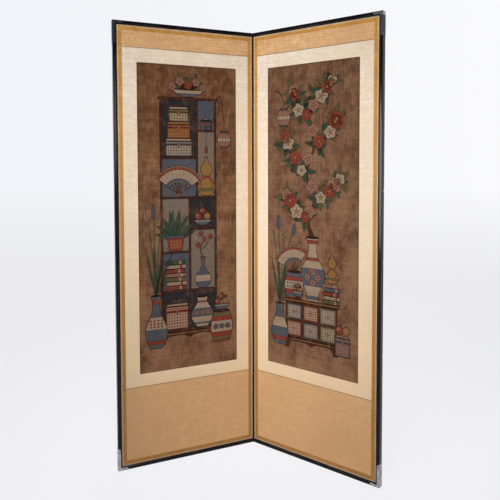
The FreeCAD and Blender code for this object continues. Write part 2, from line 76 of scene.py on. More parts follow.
def tint(code: str) -> Colour:
    """Turns a six-digit colour code into its three linear channels."""
    parts = [int(code[i:i + 2], 16) / 255 for i in (0, 2, 4)]
    return tuple(c / 12.92 if c <= 0.04045 else ((c + 0.055) / 1.055) ** 2.4 for c in parts)


class Side(Enum):
    """The two panels, as the sign of their direction from the fold."""

    LEFT = -1
    RIGHT = 1

    @property
    def word(self) -> str:
        """The side's name in small letters."""
        return self.name.lower()

    @property
    def body(self) -> str:
        """The body that the side's pieces ride on."""
        return f"{self.word}_panel"


@dataclass(frozen=True)
class FlatBox:
    """A box in a panel's flat frame: x across the face, y from front to back, z up, in metres."""

    low: Vector
    high: Vector

    @property
    def mid(self) -> Vector:
        """The middle of the box."""
        return (self.low + self.high) / 2

    @property
    def size(self) -> Vector:
        """The three sides of the box."""
        return self.high - self.low

    def grown(self, margin: float) -> "FlatBox":
        """The box with a margin added all round its face."""
        step = Vector((margin, 0, margin))
        return FlatBox(self.low - step, self.high + step)


@dataclass
class Panel:
    """One panel's place: the fold line and the turn of its flat frame about it."""

    side: Side
    fold: Vector
    half_angle: float

    @property
    def place(self) -> Matrix:
        """The matrix from the panel's flat frame to the row frame."""
        turn = -self.side.value * (math.pi / 2 - self.half_angle)
        return Matrix.Translation(self.fold) @ Matrix.Rotation(turn, 4, "Z")

    def name(self, part: str) -> str:
        """A part's name with the side in front."""
        return f"{self.side.word}_{part}"

    def node(self, part: str) -> Piece:
        """The CAD node of a part."""
        return frame["nodes"][self.name(part)]

    def box(self, part: str) -> FlatBox:
        """Measures a CAD node in the panel's flat frame.

        Args:
            part: The node's name without its side.

        Returns:
            The node's box.
        """
        back = self.place.inverted()
        points = np.array([back @ v.co for v in self.node(part).data.vertices])
        return FlatBox(Vector(points.min(0)), Vector(points.max(0)))


# Finishes


class Bench:
    """Builds one node material, a node at a time."""

    def __init__(self, name: str) -> None:
        """Starts the material.

        Args:
            name: The material's name.
        """
        self.material = bpy.data.materials.new(name)
        self.material.use_nodes = True
        self.tree = self.material.node_tree
        self.shader = self.tree.nodes["Principled BSDF"]

    def put(self, socket: Socket, value: object) -> None:
        """Links a socket to another one, or sets its value.

        Args:
            socket: The input to feed.
            value: An output socket, a number, a vector or a colour.
        """
        if isinstance(value, Socket):
            self.tree.links.new(value, socket)
        elif socket.type == "RGBA":
            socket.default_value = (*value[:3], 1.0)
        else:
            socket.default_value = value

    def add(self, kind: str, inputs: dict, **settings: object) -> bpy.types.Node:
        """Adds a node.

        Args:
            kind: The node's kind, without Blender's prefix.
            inputs: Values or sockets by input name or number.
            settings: The node's own properties.

        Returns:
            The node.
        """
        node = self.tree.nodes.new("ShaderNode" + kind)
        for key, value in settings.items():
            setattr(node, key, value)
        for key, value in inputs.items():
            self.put(node.inputs[key], value)
        return node

    def coords(self, panel: Panel | None = None) -> Socket:
        """Gives the coordinates that the patterns run on.

        Args:
            panel: The panel whose flat frame is wanted, or None for the row frame.

        Returns:
            A vector socket.
        """
        spot = self.add("TexCoord", {}).outputs["Object"]
        if panel is None:
            return spot
        back = panel.place.inverted()
        turned = {"Vector": spot, "Location": back.translation, "Rotation": back.to_euler()}
        return self.add("Mapping", turned).outputs[0]

    def height(self, at: Socket) -> Socket:
        """Takes the height out of coordinates."""
        return self.add("SeparateXYZ", {0: at}).outputs["Z"]

    def noise(self, at: Socket, stretch: Sequence[float], detail: float = 3.0, rough: float = 0.55) -> Socket:
        """Adds a noise stretched along the axes.

        Args:
            at: Coordinates.
            stretch: How many grains there are to the metre along each axis.
            detail: Octaves.
            rough: How strong the finer octaves are.

        Returns:
            The noise's value.
        """
        spread = self.add("Mapping", {"Vector": at, "Scale": stretch}).outputs[0]
        inputs = {"Vector": spread, "Scale": 1.0, "Detail": detail, "Roughness": rough}
        return self.add("TexNoise", inputs).outputs["Fac"]

    def wave(self, at: Socket, axis: str, pitch: float, wobble: float = 0.0) -> Socket:
        """Adds bands across an axis, with their pitch in metres and how far they wander."""
        inputs = {"Vector": at, "Scale": math.pi / 10 / pitch, "Distortion": wobble, "Detail Scale": 2.0}
        return self.add("TexWave", inputs, bands_direction=axis).outputs["Fac"]

    def band(self, value: Socket, low: float, high: float, out: Point = (0.0, 1.0)) -> Socket:
        """Spreads the values from low to high over another range, clamped."""
        inputs = {"Value": value, "From Min": low, "From Max": high, "To Min": out[0], "To Max": out[1]}
        return self.add("MapRange", inputs).outputs[0]

    def sum(self, how: str, first: object, second: object) -> Socket:
        """Joins two values with one of Blender's operations of arithmetic."""
        return self.add("Math", {0: first, 1: second}, operation=how).outputs[0]

    def mix(self, share: object, first: object, second: object) -> Socket:
        """Mixes two colours.

        Args:
            share: How much of the second one there is.
            first: A socket or a colour.
            second: A socket or a colour.

        Returns:
            The mixed colour.
        """
        node = self.add("Mix", {}, data_type="RGBA")
        for slot, value in ((0, share), (6, first), (7, second)):
            self.put(node.inputs[slot], value)
        return node.outputs[2]

    def stain(self, base: object, value: Socket, low: float, high: float, most: float, code: str) -> Socket:
        """Mixes a colour in: none of it where the value is low, the most where it is high."""
        return self.mix(self.band(value, low, high, (0.0, most)), base, tint(code))

    def stored(self, name: str, output: str = "Fac") -> Socket:
        """Reads an attribute of the piece."""
        return self.add("Attribute", {}, attribute_name=name).outputs[output]

    def relief(self, height: Socket, depth: float, strength: float) -> None:
        """Gives the surface a bump, whose depth in metres is what a height of 1 stands for."""
        inputs = {"Height": height, "Distance": depth, "Strength": strength}
        self.put(self.shader.inputs["Normal"], self.add("Bump", inputs).outputs[0])

    def done(self, **inputs: object) -> Material:
        """Feeds the shader and hands the material over.

        Args:
            inputs: Shader inputs, with underscores for spaces.

        Returns:
            The material.
        """
        for key, value in inputs.items():
            self.put(self.shader.inputs[key.replace("_", " ")], value)
        return self.material


@dataclass(frozen=True)
class SilkFinish:
    """Plain-woven silk on paper, darker towards the foot, with slubs, blotches and grime, and painted shade
    along the seams that meet the mat's edge.
    """

    name: str
    colour: str
    toned: str
    shade: str
    grime: str
    thread: float = 0.7 * MM
    roughness: float = 0.62
    sheen: float = 0.12
    toned_below: Point = (0.3, 1.6)

    def make(self, panel: Panel) -> Material:
        """Makes the material for one panel.

        Args:
            panel: The panel whose threads it follows.

        Returns:
            The material.
        """
        bench = Bench(panel.name(self.name))
        at = bench.coords(panel)
        # Darker towards the foot: the foot colour below blends into the colour above
        base = bench.mix(bench.band(bench.height(at), *self.toned_below), tint(self.toned), tint(self.colour))
        blotch = bench.noise(at, (5, 5, 4), 5)
        patchy = bench.noise(at, (30, 30, 24), 4, 0.65)
        fleck = bench.noise(at, (95, 95, 120), 3, 0.6)
        streak = bench.noise(at, (11, 40, 150), 3, 0.6)
        warp = bench.noise(at, (420, 40, 7), 3, 0.7)
        weft = bench.noise(at, (7, 40, 420), 3, 0.7)
        slub = bench.sum("MAXIMUM", warp, weft)
        weave = bench.sum("MULTIPLY", bench.wave(at, "X", self.thread), bench.wave(at, "Z", self.thread))
        base = bench.stain(base, blotch, 0.42, 0.62, 0.55, self.shade)
        for mottle, most in ((patchy, 0.6), (fleck, 0.8), (streak, 0.7), (slub, 0.6)):
            base = bench.stain(base, mottle, 0.45, 0.66, most, self.shade)
        base = bench.stain(base, weave, 0.6, 0.0, 0.12, self.grime)
        base = bench.stain(base, bench.noise(at, (60, 60, 60), 3), 0.66, 0.74, 0.3, self.grime)
        # The darkened seams get grime and painted shade, which stands in for the shadow of the mat's edge
        rim = bench.sum("POWER", bench.stored("rim"), 0.5)
        base = bench.stain(base, rim, 0.0, 1.0, 0.95, self.grime)
        bench.relief(bench.sum("ADD", weave, slub), 0.12 * MM, 0.6)
        rough = bench.band(slub, 0.3, 0.8, (self.roughness - 0.06, self.roughness + 0.1))
        soft = {"Sheen_Weight": self.sheen, "Sheen_Roughness": 0.4}
        return bench.done(Base_Color=base, Roughness=rough, Specular_IOR_Level=0.3, **soft)


@dataclass(frozen=True)
class LacquerFinish:
    """Old black lacquer, with rubbed patches, fine scratches and wear along its edges."""

    name: str
    colour: str = "0c0a0c"
    rubbed: str = "191516"
    under: str = "d2c8b8"
    gloss: Point = (0.1, 0.22)
    chip: float = 8 * MM
    left_chips: tuple[float, ...] = (1.02, 0.61, 0.135)
    right_chips: tuple[float, ...] = (1.227, 1.105, 0.841, 0.492)

    def make(self, panel: Panel) -> Material:
        """Makes the material for one panel.

        Args:
            panel: The panel whose bars it follows.

        Returns:
            The material.
        """
        bench = Bench(panel.name(self.name))
        at = bench.coords(panel)
        cloud = bench.noise(at, (9, 9, 5), 4)
        scuff = bench.noise(at, (160, 160, 18), 3)
        base = bench.stain(tint(self.colour), cloud, 0.35, 0.7, 1.0, self.rubbed)
        base = bench.mix(self.chips(bench, at, panel), base, tint(self.under))
        bench.relief(bench.sum("ADD", cloud, bench.sum("MULTIPLY", scuff, 0.2)), 0.2 * MM, 0.2)
        rough = bench.band(bench.sum("ADD", cloud, scuff), 0.7, 1.3, self.gloss)
        return bench.done(Base_Color=base, Roughness=rough, Specular_IOR_Level=0.12)

    def chips(self, bench: Bench, at: Socket, panel: Panel) -> Socket:
        """Finds the small chips along the outer stile's back arris.

        Args:
            bench: The material in hand.
            at: Coordinates in the panel's flat frame.
            panel: The panel whose outer stile has the arris.

        Returns:
            1 where the lacquer is gone, 0 elsewhere.
        """
        stile = panel.box("outer_stile")
        on_left = panel.side is Side.LEFT
        outer = stile.low.x if on_left else stile.high.x
        ragged = bench.sum("MULTIPLY", bench.noise(at, (260, 260, 150), 4, 0.65), 2 * self.chip)
        gone: object = 0.0
        for height in self.left_chips if on_left else self.right_chips:
            spot = Vector((outer, stile.high.y, height))
            away = bench.add("VectorMath", {0: at, 1: spot}, operation="DISTANCE").outputs["Value"]
            chip = bench.band(bench.sum("ADD", away, ragged), 1.7 * self.chip, 1.55 * self.chip)
            gone = bench.sum("MAXIMUM", gone, chip)
        return gone


@dataclass(frozen=True)
class BracketFinish:
    """Sheet metal with a drawn grain, dulled in places by tarnish and painted shade, and kept bright above a
    height as a painted highlight.
    """

    name: str
    bright: str
    dull: str
    tarnish: float
    rubbed_from: float = ABOVE_ALL

    def make(self, panel: Panel) -> Material:
        """Makes the material for one panel.

        Args:
            panel: The panel whose brackets it follows.

        Returns:
            The material.
        """
        bench = Bench(panel.name(self.name))
        at = bench.coords(panel)
        cloud = bench.noise(at, (70, 70, 45), 5, 0.62)
        grain = bench.noise(at, (1500, 300, 60), 2)
        # A high share of dull metal is tarnish and, on the top brackets, painted shade
        edge = 0.75 - 0.5 * self.tarnish
        share = bench.band(cloud, edge - 0.16, edge + 0.1)
        # Above this height the metal stays bright: a painted highlight on the top arm
        below_highlight = bench.band(bench.height(at), self.rubbed_from - 2 * MM, self.rubbed_from, (1.0, 0.0))
        share = bench.sum("MULTIPLY", share, below_highlight)
        base = bench.mix(share, tint(self.bright), tint(self.dull))
        bench.relief(bench.sum("ADD", grain, cloud), 0.06 * MM, 0.5)
        rough = bench.band(bench.sum("ADD", share, grain), 0.2, 1.5, (0.3, 0.62))
        return bench.done(Base_Color=base, Metallic=bench.band(share, 0.0, 1.0, (0.95, 0.6)), Roughness=rough)


@dataclass(frozen=True)
class PictureFinish:
    """Aged sized paper, browned, faded towards the foot, darker in thin wavy lines across it, and rubbed,
    bare or under worn pigment.
    """

    name: str
    painted: bool
    grounds: tuple[str, str] = ("57381f", "5b422f")
    dark: str = "3f2518"
    pale: str = "86644b"
    faded_below: Point = (1.5, 0.4)
    crease: float = 43 * MM

    def make(self, panel: Panel) -> Material:
        """Makes the material for one panel.

        Args:
            panel: The panel whose picture it follows.

        Returns:
            The material.
        """
        bench = Bench(panel.name(self.name))
        at = bench.coords(panel)
        cloud = bench.noise(at, (9, 9, 7), 7, 0.66)
        patchy = bench.noise(at, (38, 38, 30), 5, 0.65)
        tall = bench.noise(at, (150, 30, 9), 4, 0.65)
        wide = bench.noise(at, (9, 30, 150), 4, 0.65)
        fine = bench.noise(at, (420, 420, 420), 3, 0.7)
        # The left picture's ground is darker than the right's, partly painted shade and partly its own tone
        ground = tint(self.grounds[panel.side is Side.RIGHT])
        ground = bench.stain(ground, bench.height(at), *self.faded_below, 0.62, self.pale)
        base = bench.mix(bench.band(cloud, 0.32, 0.62), tint(self.dark), ground)
        base = bench.stain(base, patchy, 0.44, 0.72, 0.45, self.pale)
        base = bench.stain(base, tall, 0.5, 0.74, 0.4, self.pale)
        base = bench.stain(base, wide, 0.5, 0.74, 0.38, self.dark)
        rub = bench.sum("MULTIPLY", bench.band(fine, 0.4, 0.72), bench.band(cloud, 0.4, 0.7))
        if self.painted:
            thin = bench.band(fine, 0.4, 0.75, (0.0, 0.22))
            wear = bench.sum("ADD", thin, bench.band(patchy, 0.5, 0.72, (0.0, 0.32)))
            base = bench.mix(wear, bench.stored("pigment", "Color"), base)
        base = bench.stain(base, rub, 0.2, 0.8, 0.12 if self.painted else 0.5, self.pale)
        # Thin darker wavy lines across the sheet at the crease pitch; the sheet itself is flat
        base = bench.stain(base, bench.wave(at, "Z", self.crease, 2.5), 0.02, 0.0, 0.3, self.dark)
        base = bench.stain(base, bench.stored("rim"), 0.0, 1.0, 0.75, self.dark)
        bench.relief(bench.sum("ADD", fine, bench.sum("ADD", wide, tall)), 0.12 * MM, 0.6)
        rough = bench.band(fine, 0.2, 0.8, (0.66, 0.86))
        return bench.done(Base_Color=base, Roughness=rough, Specular_IOR_Level=0.05)


@dataclass(frozen=True)
class PaperFinish:
    """Handmade paper with long fibres and a soft mottle."""

    name: str
    colour: str
    fibre: str

    def make(self, panel: Panel) -> Material:
        """Makes the material for one panel.

        Args:
            panel: The panel whose sheet it follows.

        Returns:
            The material.
        """
        bench = Bench(panel.name(self.name))
        at = bench.coords(panel)
        cloud = bench.noise(at, (6, 6, 6), 5)
        fibre = bench.noise(at, (45, 60, 420), 4, 0.7)
        cross = bench.noise(at, (420, 60, 60), 4, 0.7)
        hair = bench.sum("MAXIMUM", fibre, cross)
        base = bench.stain(tint(self.colour), hair, 0.56, 0.7, 0.6, self.fibre)
        base = bench.stain(base, cloud, 0.35, 0.7, 0.45, self.fibre)
        base = bench.stain(base, bench.stored("rim"), 0.0, 1.0, 0.4, self.fibre)
        bench.relief(hair, 0.15 * MM, 0.6)
        rough = bench.band(hair, 0.3, 0.7, (0.74, 0.9))
        return bench.done(Base_Color=base, Roughness=rough, Specular_IOR_Level=0.2)


@dataclass(frozen=True)
class WoodFinish:
    """Planed wood or split bamboo with a grain along the piece's longest way."""

    name: str
    colour: str
    grain: str
    upright: bool = True

    def make(self, panel: Panel) -> Material:
        """Makes the material for one panel.

        Args:
            panel: The panel whose pieces it follows.

        Returns:
            The material.
        """
        bench = Bench(panel.name(self.name))
        at = bench.coords(panel)
        stretch = (130, 130, 6) if self.upright else (6, 130, 130)
        rings = bench.noise(at, stretch, 4, 0.6)
        pores = bench.noise(at, tuple(4 * n for n in stretch), 2)
        base = bench.stain(tint(self.colour), rings, 0.35, 0.68, 1.0, self.grain)
        base = bench.stain(base, pores, 0.6, 0.75, 0.4, self.grain)
        bench.relief(bench.sum("ADD", rings, pores), 0.12 * MM, 0.5)
        return bench.done(Base_Color=base, Roughness=bench.band(rings, 0.3, 0.7, (0.55, 0.75)))


@dataclass(frozen=True)
class HingeFinish:
    """Black cotton cloth, close woven and a little greyed where it bends."""

    name: str = "hinge_cotton"
    colour: str = "1a1007"
    worn: str = "35240f"
    thread: float = 0.5 * MM

    def make(self) -> Material:
        """Makes the material for both panels.

        Returns:
            The material.
        """
        bench = Bench(self.name)
        at = bench.coords()
        weave = bench.sum("MULTIPLY", bench.wave(at, "Z", self.thread), bench.wave(at, "X", self.thread))
        fade = bench.noise(at, (120, 120, 22), 4)
        base = bench.stain(tint(self.colour), fade, 0.45, 0.75, 0.7, self.worn)
        base = bench.stain(base, weave, 0.2, 0.8, 0.35, self.worn)
        bench.relief(weave, 0.15 * MM, 0.7)
        rough = bench.band(fade, 0.3, 0.7, (0.7, 0.88))
        return bench.done(Base_Color=base, Roughness=rough, Specular_IOR_Level=0.1)


def seen_share(tree: bpy.types.NodeTree) -> Socket:
    """Tells the rays that show the background from those that light the object.

    Args:
        tree: The node tree to add to.

    Returns:
        1 for camera, glossy and transmission rays, 0 for the rest.
    """
    path = tree.nodes.new("ShaderNodeLightPath").outputs
    share = path["Is Camera Ray"]
    for way in ("Is Glossy Ray", "Is Transmission Ray"):
        node = tree.nodes.new("ShaderNodeMath")
        node.operation = "MAXIMUM"
        tree.links.new(share, node.inputs[0])
        tree.links.new(path[way], node.inputs[1])
        share = node.outputs[0]
    return share


@dataclass(frozen=True)
class BackdropFinish:
    """Pale studio paper, painted a little brighter to the right as painted light, that keeps a faint shadow.
    """

    floor: str = "f2f2f5"
    wall_left: str = "f2f3f8"
    wall_right: str = "fafafc"
    half_width: float = 3.0
    wall_from: float = 0.02
    wall_to: float = 0.9
    shadow: float = 0.1

    def make(self) -> Material:
        """Makes the material of the floor and backdrop.

        Returns:
            The material.
        """
        bench = Bench("studio_paper")
        across, _, height = bench.add("SeparateXYZ", {0: bench.coords()}).outputs
        # The wall's brightening from left to right is painted light
        side = bench.band(across, -self.half_width, self.half_width)
        wall = bench.mix(side, tint(self.wall_left), tint(self.wall_right))
        colour = bench.mix(bench.band(height, self.wall_from, self.wall_to), tint(self.floor), wall)
        bench.done(Base_Color=colour, Roughness=0.9, Specular_IOR_Level=0.0)
        glow = bench.add("Emission", {"Color": colour, "Strength": 1.0}).outputs[0]
        kept = bench.band(height, self.wall_from, self.wall_to, (1 - self.shadow, 1.0))
        share = bench.sum("MULTIPLY", seen_share(bench.tree), kept)
        mixed = bench.add("MixShader", {0: share, 1: bench.shader.outputs[0], 2: glow}).outputs[0]
        bench.put(bench.tree.nodes["Material Output"].inputs["Surface"], mixed)
        return bench.material


# Modelling


def pick(piece: Piece) -> None:
    """Selects one object and nothing else.

    Args:
        piece: The object to work on.
    """
    bpy.ops.object.select_all(action="DESELECT")
    piece.select_set(True)
    bpy.context.view_layer.objects.active = piece


@contextmanager
def editing(piece: Piece) -> Iterator[None]:
    """Opens a piece in edit mode with all of it selected, and closes it again.

    Args:
        piece: The piece to shape.

    Returns:
        What a with statement takes.
    """
    pick(piece)
    bpy.ops.object.mode_set(mode="EDIT")
    bpy.ops.mesh.select_all(action="SELECT")
    yield
    bpy.ops.object.mode_set(mode="OBJECT")


def select_points(piece: Piece, wanted: Callable[[Vector], bool]) -> None:
    """Selects points by their place, and the edges and faces between them.

    Args:
        piece: The piece, in edit mode.
        wanted: Tells whether the point at a place is selected.
    """
    bpy.ops.mesh.select_all(action="DESELECT")
    mesh = bmesh.from_edit_mesh(piece.data)
    for vertex in mesh.verts:
        vertex.select_set(wanted(vertex.co))
    mesh.select_flush(True)
    bmesh.update_edit_mesh(piece.data)


def apply_modifier(piece: Piece, kind: str, **settings: object) -> None:
    """Adds a modifier to a piece and applies it.

    Args:
        piece: The piece.
        kind: Blender's word for the modifier.
        settings: The modifier's properties.
    """
    pick(piece)
    modifier = piece.modifiers.new(kind.title(), kind)
    for key, value in settings.items():
        setattr(modifier, key, value)
    bpy.ops.object.modifier_apply(modifier=modifier.name)


def set_place(piece: Piece, place: Matrix) -> None:
    """Moves a piece from a flat frame and puts its place into its mesh.

    Args:
        piece: The piece, at the origin.
        place: The matrix to the row frame.
    """
    pick(piece)
    piece.matrix_world = place
    bpy.ops.object.transform_apply(location=True, rotation=True, scale=True)


def dress(piece: Piece, *materials: Material) -> None:
    """Gives a piece its materials.

    Args:
        piece: A piece or a CAD node's object.
        materials: The materials, in the order of the slots.
    """
    slots = piece.material_slots
    while len(slots) < len(materials):
        piece.data.materials.append(None)
    for slot, material in zip(slots, materials):
        slot.material = material


def fit(piece: Piece, panel: Panel, slot: str, *parts: str) -> None:
    """Makes a piece ride on its panel in place of CAD nodes.

    Args:
        piece: The finished piece.
        panel: Its panel.
        slot: The record's material slot; not used.
        parts: The nodes that it stands for, without their side.
    """
    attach(piece, panel.side.body)
    if parts:
        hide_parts(*[panel.name(part) for part in parts])
    LOG.info("%s rides on %s", piece.name, panel.side.body)


def bisect(axis: int, at: float) -> None:
    """Cuts the mesh in edit mode with a plane across one axis.

    Args:
        axis: 0 for x, 1 for y, 2 for z.
        at: Where the plane is.
    """
    normal = Vector((0.0, 0.0, 0.0))
    normal[axis] = 1.0
    bpy.ops.mesh.select_all(action="SELECT")
    bpy.ops.mesh.bisect(plane_co=normal * at, plane_no=normal)


class Seam(Enum):
    """A sheet's sides, as an axis and an end of its box."""

    LEFT = (0, "low")
    RIGHT = (0, "high")
    FOOT = (2, "low")
    HEAD = (2, "high")


@dataclass
class SheetCut:
    """A stretched sheet: its outline, its window, how it lies and which seams are darkened."""

    box: FlatBox
    window: FlatBox | None = None
    cell: float = 24 * MM
    ripple: float = 0.3 * MM
    waves: float = 110 * MM
    seam: float = 3.2 * MM
    grimy: tuple[Seam, ...] = tuple(Seam)
    toward_back: bool = False
    crease: float = math.radians(35)
    least_width: float = 10 * MM

    def lines(self, axis: int) -> list[float]:
        """Lists where the sheet is cut across one axis.

        Args:
            axis: 0 for x, 2 for z.

        Returns:
            The places of the cuts.
        """
        low, high = self.box.low[axis], self.box.high[axis]
        steps = max(1, round((high - low) / self.cell))
        cuts = {round(low + (high - low) * i / steps, 5) for i in range(1, steps)}
        cuts |= {round(low + self.seam, 5), round(high - self.seam, 5)}
        if self.window:
            edges = self.window.low[axis], self.window.high[axis]
            cuts = {c for c in cuts if min(abs(c - e) for e in edges) > 2 * self.seam}
            cuts |= set(edges) | {edges[0] - self.seam, edges[1] + self.seam}
        return sorted(c for c in cuts if low < c < high)

    def on_seam(self, spot: Vector) -> bool:
        """Tells whether a point is on one of the darkened seams."""
        sides = [(axis, getattr(self.box, end)) for axis, end in (seam.value for seam in self.grimy)]
        return any(abs(corner[axis] - spot[axis]) < TOUCH for axis, corner in sides)

    def build(self, name: str) -> Piece:
        """Cuts, ripples and thickens the sheet in the panel's flat frame.

        Args:
            name: The piece's name.

        Returns:
            The piece.
        """
        bpy.ops.object.select_all(action="DESELECT")
        face = self.box.high.y if self.toward_back else self.box.low.y
        turn = -math.pi / 2 if self.toward_back else math.pi / 2
        spot = (self.box.mid.x, face, self.box.mid.z)
        bpy.ops.mesh.primitive_plane_add(size=1, location=spot, rotation=(turn, 0, 0))
        piece = bpy.context.object
        piece.name = piece.data.name = name
        piece.scale = (self.box.size.x, self.box.size.z, 1)
        bpy.ops.object.transform_apply(location=True, rotation=True, scale=True)
        with editing(piece):
            for axis in (0, 2):
                for at in self.lines(axis):
                    bisect(axis, at)
            if self.window:
                self.open_window(piece)
        self.mark_edges(piece)
        if self.ripple:
            texture = bpy.data.textures.new(name + "_ripple", "CLOUDS")
            texture.noise_scale = self.waves
            apply_modifier(
                piece, "DISPLACE", texture=texture, texture_coords="LOCAL", mid_level=0.0,
                strength=self.ripple, vertex_group="inner",
            )
        apply_modifier(piece, "SOLIDIFY", thickness=self.box.size.y, offset=-1.0)
        bpy.ops.object.shade_smooth_by_angle(angle=self.crease)
        return piece

    def open_window(self, piece: Piece) -> None:
        """Deletes the faces inside the window.

        Args:
            piece: The sheet, in edit mode.
        """
        bpy.ops.mesh.select_all(action="DESELECT")
        mesh = bmesh.from_edit_mesh(piece.data)
        low, high = self.window.low, self.window.high
        for cell in mesh.faces:
            mid = cell.calc_center_median()
            cell.select_set(low.x < mid.x < high.x and low.z < mid.z < high.z)
        bmesh.update_edit_mesh(piece.data)
        bpy.ops.mesh.delete(type="FACE")

    def mark_edges(self, piece: Piece) -> None:
        """Keeps the sheet's edges down, and marks those on the darkened seams.

        Args:
            piece: The sheet, in object mode.
        """
        mesh = bmesh.new()
        mesh.from_mesh(piece.data)
        edge = {v.index for v in mesh.verts if v.is_boundary}
        mesh.free()
        group = piece.vertex_groups.new(name="inner")
        group.add([v.index for v in piece.data.vertices if v.index not in edge], 1.0, "REPLACE")
        marks = piece.data.attributes.new("rim", "FLOAT", "POINT")
        for vertex in piece.data.vertices:
            marks.data[vertex.index].value = float(vertex.index in edge and self.on_seam(vertex.co))

    def paste(
        self, panel: Panel, part: str, title: str, finish: SilkFinish | PictureFinish | PaperFinish,
        backing: str = "front_lining",
    ) -> None:
        """Builds the sheet on its panel, in place of its CAD node.

        Args:
            panel: The panel it is pasted on.
            part: The node it stands for, without its side.
            title: The piece's name, without its side.
            finish: Its finish.
            backing: The node it is pasted to, without its side; not used.
        """
        piece = self.build(panel.name(title))
        set_place(piece, panel.place)
        dress(piece, finish.make(panel))
        fit(piece, panel, finish.name, part)
        wide, _, tall = self.box.size
        flat, area = (wide, tall), None
        if self.window:
            inner_wide, _, inner_tall = self.window.size
            area = wide * tall - inner_wide * inner_tall
            length = wide + tall + inner_wide + inner_tall
            flat = max(area / length, self.least_width), length
        panel.name(backing)


def copy_node(panel: Panel, part: str, rounding: float) -> Piece:
    """Copies a CAD node, merges its triangles and rounds its edges.

    Args:
        panel: The node's panel.
        part: The node's name without its side.
        rounding: Width of the rounded edge, in metres.

    Returns:
        The copy, with its rounded edges in the second material slot.
    """
    mesh = panel.node(part).data.copy()
    mesh.materials.clear()
    piece = bpy.data.objects.new(panel.name(part + "_shown"), mesh)
    bpy.context.scene.collection.objects.link(piece)
    mesh.materials.append(None)
    mesh.materials.append(None)
    with editing(piece):
        bpy.ops.mesh.remove_doubles(threshold=MERGE_WITHIN)
        bpy.ops.mesh.dissolve_limited(angle_limit=FLAT_WITHIN)
    apply_modifier(
        piece, "BEVEL", width=rounding, segments=2, limit_method="ANGLE", angle_limit=EDGE_ANGLE,
        use_clamp_overlap=False, material=1,
    )
    bpy.ops.object.shade_smooth_by_angle(angle=SMOOTH_ANGLE)
    apply_modifier(piece, "WEIGHTED_NORMAL", mode="FACE_AREA", keep_sharp=True)
    return piece


# Sub-assemblies


@dataclass
class LacquerFrame:
    """The lacquered bars round a panel and the lath at its fold."""

    rounding: float = 0.8 * MM
    lath_rounding: float = 0.3 * MM
    face: LacquerFinish = LacquerFinish("lacquer")
    edge: LacquerFinish = LacquerFinish("lacquer_edge", rubbed="3a302b", gloss=(0.4, 0.6))

    def build(self, panel: Panel) -> None:
        """Rounds and lacquers the bars.

        Args:
            panel: The panel they frame.
        """
        materials = self.face.make(panel), self.edge.make(panel)
        for part in ("outer_stile", "top_rail", "bottom_rail", "hinge_lath"):
            bar = copy_node(panel, part, self.lath_rounding if part == "hinge_lath" else self.rounding)
            dress(bar, *materials)
            fit(bar, panel, "black_lacquer", part)


@dataclass
class CornerBrackets:
    """The folded metal brackets on a panel's outer corners, and their tacks."""

    rounding: float = 0.25 * MM
    bright: BracketFinish = BracketFinish("bracket_bright", "aeaaad", "7a767a", 0.3)
    # The top brackets are painted darker than the bottom ones as painted shade; the top right one has a
    # painted highlight on its top arm
    dark: BracketFinish = BracketFinish("bracket_dark", "8d8d8a", "33383a", 0.85)
    grey: BracketFinish = BracketFinish("bracket_grey", "b2b0b2", "46484c", 0.9, 1.737)
    rubbed: BracketFinish = BracketFinish("bracket_rubbed", "c8c5c5", "9a9798", 0.2)

    def build(self, panel: Panel) -> None:
        """Rounds and finishes the brackets.

        Args:
            panel: The panel they hold.
        """
        bright, rubbed = self.bright.make(panel), self.rubbed.make(panel)
        # The top brackets take the darker finishes, which are painted shade
        dull = (self.dark if panel.side is Side.LEFT else self.grey).make(panel)
        for part, metal, edge in (("top_bracket", dull, dull), ("bottom_bracket", bright, rubbed)):
            bracket = copy_node(panel, part, self.rounding)
            dress(bracket, metal, edge)
            fit(bracket, panel, "bracket_metal", part)
        dress(panel.node("bracket_tacks"), bright)


@dataclass
class SilkMount:
    """The silk that is pasted round a picture: edging, gold border, upper and lower silk, and mat."""

    strip_seam: float = 1.2 * MM
    strip_ripple: float = 0.1 * MM
    field_seam: float = 4.2 * MM
    edging: SilkFinish = SilkFinish("edging_silk", "dcb991", "8f7c66", "a88c70", "8a7a6a", 0.5 * MM)
    gold: SilkFinish = SilkFinish("gold_silk", "d29a48", "7a4e1c", "9e7030", "64451e", 0.5 * MM, 0.5)
    tan: SilkFinish = SilkFinish("tan_silk", "dcb27d", "c79e6c", "b4895f", "76604a")
    cream: SilkFinish = SilkFinish("mat_silk", "d9d3cb", "d8b17d", "c6b298", "a98a62")

    def lay_ring(self, panel: Panel, part: str, window: FlatBox, finish: SilkFinish) -> None:
        """Lays a ring of strips end to end round an opening."""
        cut = SheetCut(panel.box(part), window, seam=self.strip_seam, ripple=self.strip_ripple, grimy=())
        cut.paste(panel, part, part + "_strips", finish)

    def lay_field(self, panel: Panel, part: str, grimy: Seam) -> None:
        """Lays a plain field of tan silk, with one seam darkened by grime and painted shade where it meets
        the mat.
        """
        cut = SheetCut(panel.box(part), seam=self.field_seam, grimy=(grimy,))
        cut.paste(panel, part, part + "_sheet", self.tan)

    def build(self, panel: Panel) -> None:
        """Lays the silk from the edge inwards.

        Args:
            panel: The panel it is pasted on.
        """
        lower, upper = panel.box("lower_silk"), panel.box("upper_silk")
        gap = panel.box("mat").low.z - lower.high.z
        self.lay_ring(panel, "edging", panel.box("gold_border").grown(gap), self.edging)
        self.lay_ring(panel, "gold_border", FlatBox(lower.low, upper.high).grown(gap), self.gold)
        self.lay_field(panel, "lower_silk", Seam.HEAD)
        self.lay_field(panel, "upper_silk", Seam.FOOT)
        self.lay_ring(panel, "mat", panel.box("picture").grown(gap), self.cream)


# Painting


